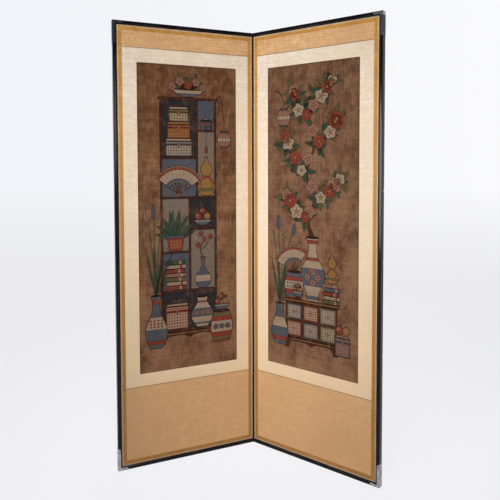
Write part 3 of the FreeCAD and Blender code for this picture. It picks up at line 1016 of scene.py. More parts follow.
class Pigment(Enum):
    """Ground pigments of the pictures."""

    INK = "0d0907"
    LACQUER = "341710"
    BRICK = "66281f"
    BLUSH = "6f4d41"
    SLATE = "383f46"
    DEEP = "191c20"
    OLIVE = "47422a"
    LEAF = "22382b"
    CREAM = "7e6c5a"
    BONE = "5c5146"
    OCHRE = "6f5029"


class Outline(Enum):
    """Widths of the brushed outlines, in millimetres."""

    BARE = 0.0
    FINE = 1.2
    BOLD = 2.4


INK, LACQUER, BRICK, BLUSH, SLATE, DEEP, OLIVE, LEAF, CREAM, BONE, OCHRE = Pigment
BARE, FINE, BOLD = Outline


@dataclass(frozen=True)
class PaintShape:
    """One flat shape of paint: its outline, pigment, layer and ink line."""

    points: tuple[Point, ...]
    pigment: Pigment
    level: int
    outline: Outline


def rounded(points: Sequence[Point], steps: int = 5) -> list[Point]:
    """Draws a smooth line through points.

    Args:
        points: The points, in order.
        steps: How many short lines there are between two points.

    Returns:
        The points of the smooth line.
    """
    last = len(points) - 1
    line = []
    for i in range(last):
        a, b, c, d = (np.array(points[min(max(j, 0), last)], float) for j in range(i - 1, i + 3))
        for t in np.arange(steps) / steps:
            spot = 2 * b + (c - a) * t + (2 * a - 5 * b + 4 * c - d) * t**2 + (3 * b - a - 3 * c + d) * t**3
            line.append(tuple(spot / 2))
    line.append(tuple(points[-1]))
    return line


@dataclass
class PaintBook:
    """The painted shapes of one picture, in millimetres and layers from where the brush is set.

    A book starts at the middle of the picture's foot, on the paper. A motif stands on the brush's place.
    """

    shapes: list[PaintShape] = field(default_factory=list)
    spot: Point = (0.0, 0.0)
    ground: int = 0

    def at(self, x: float, z: float, level: int = 0) -> "PaintBook":
        """The same book with the brush set to another place and layer."""
        return PaintBook(self.shapes, (self.spot[0] + x, self.spot[1] + z), self.ground + level)

    def patch(
        self, points: Iterable[Point], pigment: Pigment, level: int = 0, outline: Outline = BOLD
    ) -> None:
        """Adds a shape.

        Args:
            points: Its corners.
            pigment: Its colour.
            level: Its layer.
            outline: Its ink line.
        """
        corners = [(self.spot[0] + float(a), self.spot[1] + float(b)) for a, b in points]
        turns = zip(corners, corners[1:] + corners[:1])
        if sum(a[0] * b[1] - b[0] * a[1] for a, b in turns) < 0:
            corners.reverse()
        self.shapes.append(PaintShape(tuple(corners), pigment, self.ground + level, outline))

    def mirrored(
        self, edge: Sequence[Point], pigment: Pigment, level: int = 0, outline: Outline = BOLD
    ) -> None:
        """Adds a shape from its right side, which its left side mirrors."""
        self.patch([*edge, *[(-a, b) for a, b in reversed(edge)]], pigment, level, outline)

    def bar(
        self, x0: float, z0: float, x1: float, z1: float, pigment: Pigment, level: int = 0,
        outline: Outline = BOLD,
    ) -> None:
        """Adds an upright rectangle between two corners."""
        self.patch(((x0, z0), (x1, z0), (x1, z1), (x0, z1)), pigment, level, outline)

    def oval(
        self, x: float, z: float, wide: float, tall: float, pigment: Pigment, level: int = 0,
        outline: Outline = BOLD, sides: int = 22,
    ) -> None:
        """Adds an oval about a point, with its two half sizes."""
        turns = [2 * math.pi * i / sides for i in range(sides)]
        self.patch([(x + wide * math.cos(t), z + tall * math.sin(t)) for t in turns], pigment, level, outline)

    def stroke(
        self, points: Sequence[Point], width: float, pigment: Pigment, level: int = 0, tip: float = 1.0,
        outline: Outline = BARE,
    ) -> None:
        """Adds a brush stroke.

        Args:
            points: The points it runs through.
            width: Its width at the start.
            pigment: Its colour.
            level: Its layer.
            tip: Its width at the end, as a share of the start's.
            outline: Its ink line.
        """
        line = np.array(rounded(points) if len(points) > 2 else points, float)
        along = np.gradient(line, axis=0)
        across = np.stack([-along[:, 1], along[:, 0]], 1) / np.linalg.norm(along, axis=1)[:, None]
        half = np.linspace(width / 2, width * tip / 2, len(line))[:, None]
        self.patch([*(line + across * half), *(line - across * half)[::-1]], pigment, level, outline)

    def turned(
        self, height: float, widths: Sequence[float], pigment: Pigment,
        bands: Sequence[tuple[float, float, Pigment]] = (),
    ) -> None:
        """Adds a round vessel.

        Args:
            height: Its height.
            widths: Its half widths, evenly spaced from foot to mouth.
            pigment: Its glaze.
            bands: Painted bands, as shares of the height and a colour.
        """
        edge = rounded(list(zip(widths, np.linspace(0, height, len(widths)))))
        self.mirrored(edge, pigment)
        halves, rises = zip(*edge)
        inset = 1.7
        for low, high, colour in bands:
            heights = np.linspace(low, high, 6) * height
            self.mirrored(list(zip(np.interp(heights, rises, halves) - inset, heights)), colour, 1, FINE)
        self.oval(0, height, widths[-1], widths[-1] * 0.2, INK, 2, BARE)

    def bloom(self, radius: float, pigment: Pigment) -> None:
        """Adds an open flower with its eye and stamens, turned as its place across the picture gives.

        Args:
            radius: Its half width.
            pigment: Its petals' colour.
        """
        petals, phase = 5, self.spot[0]
        turns = np.linspace(0, 2 * math.pi, petals * 7, endpoint=False)
        reach = radius * (0.72 + 0.28 * np.abs(np.cos(turns * petals / 2 + phase)))
        self.patch(zip(reach * np.cos(turns), reach * np.sin(turns)), pigment, 0, FINE)
        for turn in np.linspace(0, 2 * math.pi, petals, endpoint=False) - 2 * phase / petals:
            tip = radius * 0.62 * np.array((math.cos(turn), math.sin(turn)))
            self.stroke([(0, 0), tip], radius * 0.09, LACQUER, 1)
        self.oval(0, 0, radius * 0.24, radius * 0.24, OCHRE, 2, FINE, 10)

    def leaf(self, length: float, width: float, angle: float, pigment: Pigment) -> None:
        """Adds a pointed leaf with its rib, from its stalk outwards.

        Args:
            length: From stalk to tip.
            width: Across its middle.
            angle: Which way it points, in degrees from the right.
            pigment: Its colour.
        """
        way = np.array((math.cos(math.radians(angle)), math.sin(math.radians(angle))))
        shares = np.linspace(0, 1, 8)
        mid = shares[:, None] * way * length
        bulge = np.array((-way[1], way[0])) * (np.sin(np.pi * shares**0.8) * width / 2)[:, None]
        self.patch([*(mid + bulge), *(mid - bulge)[-2:0:-1]], pigment, 0, FINE)
        self.stroke([mid[0], mid[6]], width * 0.08, INK, 1)

    def diamonds(self, box: Corners, pitch: float, pigment: Pigment, level: int) -> None:
        """Fills a rectangle with rows of small diamonds.

        Args:
            box: Its left side, foot, right side and head.
            pitch: About how far apart the diamonds are.
            pigment: Their colour.
            level: Their layer.
        """
        x0, z0, x1, z1 = box
        columns, rows = max(1, round((x1 - x0) / pitch)), max(1, round((z1 - z0) / pitch))
        wide, tall = (x1 - x0) / columns, (z1 - z0) / rows
        a, b = wide * 0.4, tall * 0.4
        for i in range(columns):
            for j in range(rows):
                cell = self.at(x0 + (i + 0.5) * wide, z0 + (j + 0.5) * tall)
                cell.patch(((-a, 0), (0, -b), (a, 0), (0, b)), pigment, level, BARE)

    def stripes(self, box: Corners, count: int, pigment: Pigment, level: int) -> None:
        """Fills a rectangle with even stripes.

        Args:
            box: Its left side, foot, right side and head.
            count: How many stripes there are.
            pigment: Their colour.
            level: Their layer.
        """
        x0, z0, x1, z1 = box
        span = (z1 - z0) / count
        for i in range(count):
            self.bar(x0, z0 + (i + 0.3) * span, x1, z0 + (i + 0.7) * span, pigment, level, BARE)

    def casket(self, width: float, height: float, pigment: Pigment, trim: Pigment) -> None:
        """Adds a lidded box, with a slanting top and a diapered front.

        Args:
            width: Its width.
            height: Its front's height.
            pigment: Its colour.
            trim: The colour of its top and panels.
        """
        half, lid = width / 2, height * 0.76
        self.patch(((-half, height), (half, height), (half - 7, height + 11), (7 - half, height + 11)), trim)
        self.bar(-half, 0, half, height, pigment)
        self.bar(5 - half, 5, half - 5, lid - 3, trim, 1, FINE)
        self.diamonds((8 - half, 8, half - 8, lid - 6), 11, pigment, 2)
        self.bar(-half, lid, half, lid + 3, INK, 1, BARE)
        self.stripes((4 - half, lid + 6, half - 4, height - 3), 2, trim, 1)
        self.bar(-5, lid - 9, 5, lid + 8, OCHRE, 3, FINE)

    def pile(self, width: float, rise: float, colours: Sequence[Pigment]) -> None:
        """Adds a pile of folded cloths, rounded at the fold.

        Args:
            width: A cloth's width.
            rise: A cloth's thickness.
            colours: The cloths, from the lowest up.
        """
        for i, colour in enumerate(colours):
            cloth = self.at((0, 5, -3, 4, -5, 2, -2)[i % 7] - width / 2, i * rise)
            fold = rounded([(0, 0), (-4, rise / 2), (0, rise)])
            cloth.patch([*fold, (width, rise), (width, 0)], colour)
            trim = BRICK if colour is CREAM else CREAM
            cloth.bar(width * 0.68, 2, width * 0.78, rise - 2, trim, 1, BARE)
            cloth.stroke([(0, rise / 2), (width - 2, rise / 2)], 1.0, INK, 2)

    def fan(self, radius: float, start: float, sweep: float) -> None:
        """Adds an open fan of pleated paper on ribs, about its pivot.

        Args:
            radius: The ribs' length.
            start: Where the first rib points, in degrees from the right.
            sweep: How far the fan is open, in degrees.
        """
        turns = np.radians(np.linspace(start, start + sweep, 13))
        rim = np.stack([np.cos(turns), np.sin(turns)], 1) * radius
        for end in rim[::2]:
            self.stroke([(0, 0), end * 0.5], 4, LACQUER, 0, 1.2)
        papers = ((1.0, 0.42, CREAM, 1, BOLD), (0.96, 0.86, BRICK, 2, FINE), (0.56, 0.46, SLATE, 2, FINE))
        for outer, inner, colour, level, outline in papers:
            self.patch([*(rim * outer), *(rim * inner)[::-1]], colour, level, outline)
        for end in rim[1:-1]:
            self.stroke([end * 0.44, end * 0.99], 0.9, INK, 3)
        self.oval(0, 0, 5, 5, OCHRE, 3, FINE, 10)

    def fruit(self, radius: float, pigment: Pigment) -> None:
        """Adds a round fruit with its crown and a lit cheek, about its middle.

        Args:
            radius: Its half width.
            pigment: Its skin's colour.
        """
        self.oval(0, 0, radius, radius * 0.95, pigment)
        self.oval(-radius * 0.3, radius * 0.25, radius * 0.32, radius * 0.38, BLUSH, 1, BARE, 12)
        crown = ((-4, 0), (-6, 7), (-2, 4), (0, 8), (2, 4), (6, 7), (4, 0))
        self.at(0, radius * 0.88).patch(crown, OLIVE, 1, FINE)

    def dish(self, half: float) -> None:
        """Adds a footed dish of fruit.

        Args:
            half: Its half width.
        """
        for across, lift, colour in ((-0.5, 0.52, BRICK), (0.5, 0.52, OCHRE), (0.0, 1.02, BRICK)):
            self.at(across * half * 0.95, 26 + half * lift).fruit(half * 0.4, colour)
        for angle in (150, 30):
            self.at(0, 26 + half * 0.7).leaf(half * 0.95, 13, angle, LEAF)
        bowl = ((-1, 34), (-0.72, 17), (-0.25, 9), (0.25, 9), (0.72, 17), (1, 34))
        self.patch(rounded([(half * a, b) for a, b in bowl]), SLATE, 2)
        self.bar(-half * 0.8, 25, half * 0.8, 28, CREAM, 3, BARE)
        self.patch(((-15, 0), (15, 0), (8, 10), (-8, 10)), LACQUER, 3)

    def gourd(self, height: float) -> None:
        """Adds a double gourd tied with a ribbon at its waist.

        Args:
            height: Its height.
        """
        share = height / 150
        widths = [n * share for n in (14, 36, 40, 22, 15, 24, 22, 9, 6)]
        self.turned(height, widths, OCHRE, [(0.12, 0.2, OLIVE)])
        self.bar(-15 * share, height * 0.46, 15 * share, height * 0.52, BRICK, 2, FINE)
        for way in (-share, share):
            tail = [(0, height * 0.48), (way * 24, height * 0.4), (way * 20, height * 0.2)]
            self.stroke(tail, 6 * share, BRICK, 2, 0.6)

    def censer(self, size: float) -> None:
        """Adds a lidded burner on three legs.

        Args:
            size: About half its width.
        """
        legs = [((n, 0.5), (n * 1.25, 0.2), (n * 1.1, 0)) for n in (-0.6, 0.0, 0.6)]
        ears = [((n * 0.85, 0.95), (n * 1.2, 1.2), (n * 0.95, 1.45)) for n in (-1, 1)]
        for lines, width, tip in ((legs, 0.22, 0.7), (ears, 0.16, 0.8)):
            for line in lines:
                self.stroke([(a * size, b * size) for a, b in line], size * width, DEEP, 0, tip, FINE)
        body = [n * size for n in (0.5, 0.88, 0.95, 0.8, 0.86)]
        lid = [n * size for n in (0.8, 0.7, 0.45, 0.2, 0.12)]
        self.at(0, size * 0.3, 1).turned(size * 0.85, body, SLATE, [(0.3, 0.62, BRICK)])
        self.at(0, size * 1.15, 2).turned(size * 0.5, lid, BONE)

    def chest(self, width: float, height: float, columns: int, rows: int) -> None:
        """Adds a chest of drawers with round pulls.

        Args:
            width: Its width.
            height: Its height.
            columns: How many drawers there are side by side.
            rows: How many drawers there are one over another.
        """
        self.bar(-width / 2, 0, width / 2, height, LACQUER)
        wide, tall = (width - 6) / columns, (height - 6) / rows
        colours = (BRICK, SLATE, OLIVE, SLATE, BRICK, BONE)
        for i in range(columns):
            for j in range(rows):
                colour = colours[(i + j * columns) % len(colours)]
                drawer = self.at(3 + i * wide - width / 2, 3 + j * tall, 1)
                drawer.bar(3, 3, wide - 3, tall - 3, colour)
                drawer.bar(9, 9, wide - 9, tall - 9, CREAM, 1, FINE)
                drawer.diamonds((11, 11, wide - 11, tall - 11), 10, colour, 2)
                drawer.oval(wide / 2, tall / 2, 6, 6, OCHRE, 3, FINE, 12)

    def feet(self, span: float, drop: float) -> None:
        """Adds an apron with a cusped edge and two scrolled feet.

        Args:
            span: Its width.
            drop: Its height.
        """
        shares = (
            (-0.5, 1), (-0.5, 0.2), (-0.52, 0), (-0.43, 0), (-0.425, 0.3), (-0.37, 0.62), (-0.2, 0.7),
            (-0.08, 0.62), (0, 0.42),
        )
        edge = [(a * span, b * drop) for a, b in shares]
        self.patch([*edge, *[(-a, b) for a, b in edge[-2::-1]]], LACQUER)
        self.stripes((-0.38 * span, 0.78 * drop, 0.38 * span, 0.94 * drop), 1, OCHRE, 1)

    def lantern(self, size: float) -> None:
        """Adds a hanging lantern with ribs, caps and a tassel.

        Args:
            size: Its half width.
        """
        self.stroke([(0, size * 2.1), (0, size * 3.3)], 3, INK)
        self.stroke([(0, -size * 0.3), (0, -size * 1.3)], size * 0.2, BRICK, 0, 2.2, FINE)
        widths = [n * size for n in (0.5, 0.82, 0.98, 1.0, 0.98, 0.82, 0.5)]
        self.turned(size * 2, widths, BLUSH, [(0.36, 0.64, CREAM)])
        for share in (-0.6, -0.2, 0.2, 0.6):
            rib = ((0.5, 0.06), (0.97, 0.7), (0.97, 1.3), (0.5, 1.94))
            self.stroke([(share * size * a, size * b) for a, b in rib], 1.3, INK, 2)
        for low in (-0.18, 1.94):
            self.bar(-size * 0.6, size * low, size * 0.6, size * (low + 0.24), SLATE, 3)

    def reeds(self, reach: float) -> None:
        """Adds tall reeds with plumes, from the mouth of a jar.

        Args:
            reach: The height of the tallest one.
        """
        for n, lean in enumerate((-0.1, -0.02, 0.08, 0.18, 0.3)):
            aside, head = lean * reach, reach * (1 - 0.5 * abs(lean))
            turn = math.degrees(lean)
            self.stroke([(0, 0), (aside * 0.35, reach * 0.5), (aside, head)], 6, LEAF, 0, 0.7)
            self.at(aside, head - 20, 1).leaf(70, 22, 90 - turn * 1.1, (BLUSH, SLATE)[n % 2])
            self.at(lean * 30, 10, n % 2).leaf(reach * 0.6, 11, 90 - turn * 2, LEAF)

    def mesh(self, name: str, origin: Vector, layer: float) -> Piece:
        """Lays the shapes as thin films of paint, each with its brushed outline.

        Args:
            name: The piece's name.
            origin: The middle of the picture's foot, on its face, in the panel's flat frame.
            layer: Thickness of a film, in metres.

        Returns:
            The piece, with its pigments stored as a colour.
        """
        films = [self.film(name, origin, layer, outline) for outline in Outline]
        pick(films[0])
        for film in films[1:]:
            film.select_set(True)
        bpy.ops.object.join()
        piece = bpy.context.object
        piece.name = piece.data.name = name
        return piece

    def film(self, name: str, origin: Vector, layer: float, outline: Outline) -> Piece:
        """Lays the shapes that share an outline, insets their ink lines and thickens them.

        Args:
            name: The piece's name.
            origin: The middle of the picture's foot, on its face.
            layer: Thickness of a film, in metres.
            outline: The outline whose shapes are laid.

        Returns:
            The films, with their pigments stored as a colour.
        """
        order = list(Pigment)
        shapes = [shape for shape in self.shapes if shape.outline is outline]
        vertices: list[tuple[float, float, float]] = []
        faces: list[list[int]] = []
        for shape in shapes:
            faces.append(list(range(len(vertices), len(vertices) + len(shape.points))))
            y = origin.y - (shape.level + 1) * layer
            vertices += [(origin.x + a * MM, y, origin.z + b * MM) for a, b in shape.points]
        data = bpy.data.meshes.new(name)
        data.from_pydata(vertices, [], faces)
        for _ in order:
            data.materials.append(None)
        data.polygons.foreach_set("material_index", [order.index(shape.pigment) for shape in shapes])
        film = bpy.data.objects.new(name, data)
        bpy.context.scene.collection.objects.link(film)
        if outline is not BARE:
            with editing(film):
                bpy.ops.mesh.inset(thickness=outline.value * MM, use_individual=True, use_boundary=True)
            for face in data.polygons:
                if not face.select:
                    face.material_index = order.index(INK)
        # A film is thinner than its layer, so that it doesn't touch the next one
        apply_modifier(film, "SOLIDIFY", thickness=layer * 0.9, offset=-1.0)
        store = film.data.attributes.new("pigment", "FLOAT_COLOR", "CORNER")
        colours = [(*tint(pigment.value), 1.0) for pigment in order]
        for face in film.data.polygons:
            for corner in face.loop_indices:
                store.data[corner].color = colours[face.material_index]
            face.material_index = 0
        film.data.materials.clear()
        return film


class CabinetStudy(PaintBook):
    """A lacquer cabinet of open bays with jars, cloths, boxes, fruit and a fan."""

    def compose(self) -> None:
        """Paints the cabinet and what stands in it."""
        self.case()
        self.lower_bays()
        self.upper_bays()
        self.surround()

    def case(self) -> None:
        """Paints the bays' grounds, the posts and boards, and the feet."""
        bays = (
            (-108, 160, 108, 312, DEEP), (-108, 322, -2, 470, SLATE), (8, 322, 108, 560, BONE),
            (-108, 480, -2, 690, BONE), (8, 570, 108, 690, DEEP), (-108, 700, 30, 850, SLATE),
            (40, 700, 108, 960, BONE), (-108, 860, 30, 1085, DEEP), (40, 970, 108, 1085, SLATE),
        )
        for *corners, colour in bays:
            self.bar(*corners, colour, 0, BARE)
        posts = ((-118, 160, -108, 1085), (108, 160, 118, 1085), (-2, 322, 8, 690), (30, 700, 40, 1085))
        boards = (
            (-118, 150, 118, 160), (-118, 312, 118, 322), (-108, 470, -2, 480), (8, 560, 108, 570),
            (-118, 690, 118, 700), (-108, 850, 30, 860), (40, 960, 108, 970), (-126, 1085, 126, 1097),
        )
        for level, bars in ((1, posts), (2, boards)):
            for corners in bars:
                self.bar(*corners, LACQUER, level)
        self.at(0, 104, 2).feet(236, 46)

    def surround(self) -> None:
        """Paints a jar of reeds, a garden seat and a lantern beside the cabinet."""
        self.at(-138, 300).reeds(330)
        bands = [(0.08, 0.16, BRICK), (0.36, 0.6, CREAM), (0.84, 0.92, BRICK)]
        self.at(-138, 92, 5).turned(214, (24, 40, 46, 42, 28, 18, 16, 22), SLATE, bands)
        self.diamonds((-168, 174, -108, 212), 14, BRICK, 7)
        bands = [(0.06, 0.18, OLIVE), (0.32, 0.68, CREAM), (0.82, 0.94, OLIVE)]
        self.at(138, 88, 5).turned(130, (36, 44, 48, 48, 44, 36), BRICK, bands)
        for x in (112, 138, 164):
            self.at(x, 153, 7).bloom(13, SLATE)
        self.at(138, 214, 5).dish(36)
        self.at(152, 900, 3).lantern(30)
        self.stroke([(118, 1090), (140, 1100), (152, 1000)], 5, LACQUER, 3, 0.6, FINE)

    def lower_bays(self) -> None:
        """Paints the chest, jar, cloths, bottle, plant and fruit."""
        self.at(-52, 160, 1).casket(96, 96, BRICK, CREAM)
        bands = [(0.1, 0.16, SLATE), (0.34, 0.62, SLATE), (0.8, 0.86, BRICK)]
        self.at(54, 160, 1).turned(126, (22, 36, 46, 49, 44, 30, 22, 25), CREAM, bands)
        for x in (30, 54, 78):
            self.at(x, 221, 3).bloom(11, BLUSH)
        self.at(-56, 323, 1).pile(84, 17, (BRICK, CREAM, OLIVE, BLUSH, BRICK, CREAM, LEAF))
        bands = [(0.2, 0.42, CREAM), (0.9, 0.96, BRICK)]
        self.at(58, 322, 2).turned(128, (18, 30, 36, 31, 15, 8, 8, 12), SLATE, bands)
        self.stroke([(58, 448), (46, 485), (62, 520), (52, 548)], 5, LACQUER, 1, 0.5, FINE)
        self.stroke([(50, 480), (74, 500), (92, 536)], 4, LACQUER, 1, 0.5)
        buds = ((38, 500, 13), (66, 520, 12), (90, 532, 13), (82, 490, 10), (50, 545, 12), (26, 530, 10))
        for x, z, r in buds:
            self.at(x, z, 2).bloom(r, BRICK if r > 11 else CREAM)
        for angle in range(15, 180, 22):
            blade = self.at(-56, 535, 1 + angle % 3)
            blade.leaf(118 - abs(angle - 90) * 0.4, 26, angle, LEAF if angle % 4 else OLIVE)
        self.patch(((-84, 481), (-28, 481), (-20, 540), (-92, 540)), BRICK, 5)
        self.bar(-95, 532, -17, 544, SLATE, 6)
        self.diamonds((-80, 490, -32, 526), 12, OCHRE, 6)
        self.at(58, 571, 1).dish(40)

    def upper_bays(self) -> None:
        """Paints the fan, gourd, tiered boxes, burner and flowers."""
        self.at(-42, 708, 1).fan(116, 32, 112)
        self.at(75, 700, 1).gourd(160)
        self.stroke([(75, 958), (75, 900)], 1.5, INK, 1)
        self.patch(((68, 876), (82, 876), (80, 902), (70, 902)), BRICK, 2)
        tiers = ((860, 112, 62, SLATE, CREAM), (932, 98, 56, BRICK, OCHRE), (998, 84, 50, OLIVE, CREAM))
        for level, (z, *box) in enumerate(tiers, 1):
            self.at(-40, z, level).casket(*box)
        self.at(74, 971, 1).censer(30)
        for x, z, r in ((-66, 1140, 18), (-34, 1160, 20), (0, 1146, 19), (34, 1158, 18), (62, 1138, 16)):
            self.at(x, z, 3).leaf(40, 16, 60 + x, LEAF)
            self.at(x, z, 4).leaf(40, 16, 130 + x, OLIVE)
            self.at(x, z, 6).bloom(r, BRICK if r % 2 else BLUSH)
        self.at(0, 1097).turned(42, (20, 44, 58, 66, 72), SLATE, [(0.35, 0.7, CREAM)])


class BlossomStudy(PaintBook):
    """A chest with a tall vase of blossom, a drum jar, cloths, fruit and a fan."""

    def compose(self) -> None:
        """Paints the chest, the vessels, the blossom and a lantern."""
        self.furniture()
        self.vessels()
        self.branches()
        self.at(-128, 985, 3).lantern(32)
        self.stroke([(-128, 1085), (-150, 1120), (-176, 1128)], 5, LACQUER, 3, 0.6, FINE)

    def furniture(self) -> None:
        """Paints a chest, with a jar of reeds and a box beside it."""
        self.at(-146, 250).reeds(330)
        bands = [(0.1, 0.2, BRICK), (0.42, 0.66, CREAM)]
        self.at(-146, 84, 4).turned(172, (24, 38, 42, 36, 24, 18, 22), SLATE, bands)
        self.at(140, 86, 6).casket(66, 74, SLATE, BLUSH)
        self.at(128, 190, 8).fruit(19, BRICK)
        self.at(156, 190, 9).fruit(18, OCHRE)
        self.at(0, 80, 2).feet(232, 44)
        self.at(0, 124, 2).chest(236, 146, 3, 2)
        self.bar(-128, 270, 128, 283, LACQUER, 4)
        self.stripes((-124, 272, 124, 281), 1, OCHRE, 5)

    def vessels(self) -> None:
        """Paints the drum jar, fan, vase, cloths and gourd."""
        self.at(-72, 392, 1).fan(108, 58, 100)
        bands = [(0.06, 0.2, SLATE), (0.8, 0.94, SLATE), (0.34, 0.66, CREAM)]
        self.at(-78, 283, 3).turned(112, (34, 42, 45, 45, 42, 34), BRICK, bands)
        self.diamonds((-114, 324, -42, 354), 12, SLATE, 5)
        bands = [(0.03, 0.09, SLATE), (0.24, 0.52, SLATE), (0.64, 0.69, BRICK), (0.9, 0.96, BRICK)]
        self.at(8, 283, 3).turned(256, (30, 28, 40, 54, 56, 46, 28, 20, 20, 30), CREAM, bands)
        for x, z in ((-16, 380), (32, 380), (8, 402), (8, 358)):
            self.at(x, z, 5).bloom(15, BLUSH)
        self.at(92, 284, 5).pile(70, 16, (OLIVE, CREAM, BRICK, SLATE, BLUSH))
        self.at(94, 365, 5).gourd(118)
        self.at(-60, 284, 7).dish(26)

    def branches(self) -> None:
        """Paints the trunk, twigs, leaves and flowers."""
        trunk = [(8, 535), (-16, 610), (18, 690), (-24, 790), (14, 900), (-8, 1010), (16, 1090)]
        self.stroke(trunk, 20, LACQUER, 2, 0.45, BOLD)
        twigs = (
            [(-14, 606), (-66, 640), (-116, 700)], [(16, 684), (70, 712), (122, 772)],
            [(-22, 786), (-80, 846), (-122, 930)], [(12, 896), (62, 932), (112, 1006)],
            [(-6, 1006), (-52, 1052), (-84, 1118)], [(14, 1080), (52, 1112), (84, 1140)],
        )
        draw = random.Random(11)
        flowers = (BRICK, BLUSH, CREAM, BRICK)
        for n, twig in enumerate(twigs):
            self.stroke(twig, 11, LACQUER, 1, 0.4, FINE)
            for k, (x, z) in enumerate(rounded(twig, 3)[1:]):
                for turn in (20, 100, 190, 280):
                    angle = turn + draw.uniform(-25, 25)
                    leaf = self.at(x, z, 2 + (turn > 100))
                    leaf.leaf(draw.uniform(44, 66), 24, angle, (LEAF, OLIVE)[k % 2])
                if k % 2 == n % 2 or k > 3:
                    flower = self.at(x + draw.uniform(-9, 9), z + draw.uniform(-9, 9), 5)
                    flower.bloom(draw.uniform(24, 33), flowers[(n + k) % 4])
        for x, z in ((-6, 640), (4, 740), (-14, 850), (6, 960), (10, 1060)):
            self.at(x, z, 5).bloom(27, BLUSH)


@dataclass
class PaintedPicture:
    """The picture: a sheet of aged paper with the films of paint on it."""

    layer: float = 0.035 * MM
    cell: float = 60 * MM
    seam: float = 4 * MM
    paper: PictureFinish = PictureFinish("picture_paper", False)
    paint: PictureFinish = PictureFinish("picture_paint", True)

    def build(self, panel: Panel) -> None:
        """Lays the paper and paints it.

        Args:
            panel: The panel it is mounted on.
        """
        box = panel.box("picture")
        sheet = SheetCut(box, ripple=0.0, cell=self.cell, seam=self.seam)
        sheet.paste(panel, "picture", "picture_sheet", self.paper)
        study = CabinetStudy() if panel.side is Side.LEFT else BlossomStudy()
        study.compose()
        foot = Vector((box.mid.x, box.low.y, box.low.z))
        films = study.mesh(panel.name("picture_paint"), foot, self.layer)
        set_place(films, panel.place)
        dress(films, self.paint.make(panel))
        fit(films, panel, self.paper.name)


@dataclass
class BackCover:
    """The plain paper that covers a panel's back."""

    ripple: float = 0.35 * MM
    waves: float = 140 * MM
    finish: PaperFinish = PaperFinish("cover_paper", "8f8069", "6d5f4b")

    def build(self, panel: Panel) -> None:
        """Pastes the cover on the panel."""
        cut = SheetCut(panel.box("back_cover"), ripple=self.ripple, waves=self.waves, toward_back=True)
        cut.paste(panel, "back_cover", "back_sheet", self.finish, "back_lining")


@dataclass
class InnerWork:
    """What the papers hide: the core, its lattice, the linings and the pegs."""

    upright: WoodFinish = WoodFinish("core_upright", "c8a878", "a8834f")
    level: WoodFinish = WoodFinish("core_level", "c8a878", "a8834f", False)
    peg: WoodFinish = WoodFinish("peg_bamboo", "cdb184", "a98b57", False)
    lining: PaperFinish = PaperFinish("lining_paper", "d8ccb2", "b5a688")

    def build(self, panel: Panel) -> None:
        """Dresses the CAD nodes.

        Args:
            panel: The panel they are in.
        """
        groups = (
            (self.upright, ("core_hinge_stile", "core_outer_stile", "lattice_uprights")),
            (self.level, ("core_bottom_rail", "core_top_rail", "lattice_crossbars")),
            (self.peg, ("frame_pegs",)),
            (self.lining, ("front_lining", "back_lining")),
        )
        for finish, parts in groups:
            material = finish.make(panel)
            for part in parts:
                dress(panel.node(part), material)
                LOG.info("%s keeps its solid", panel.name(part))


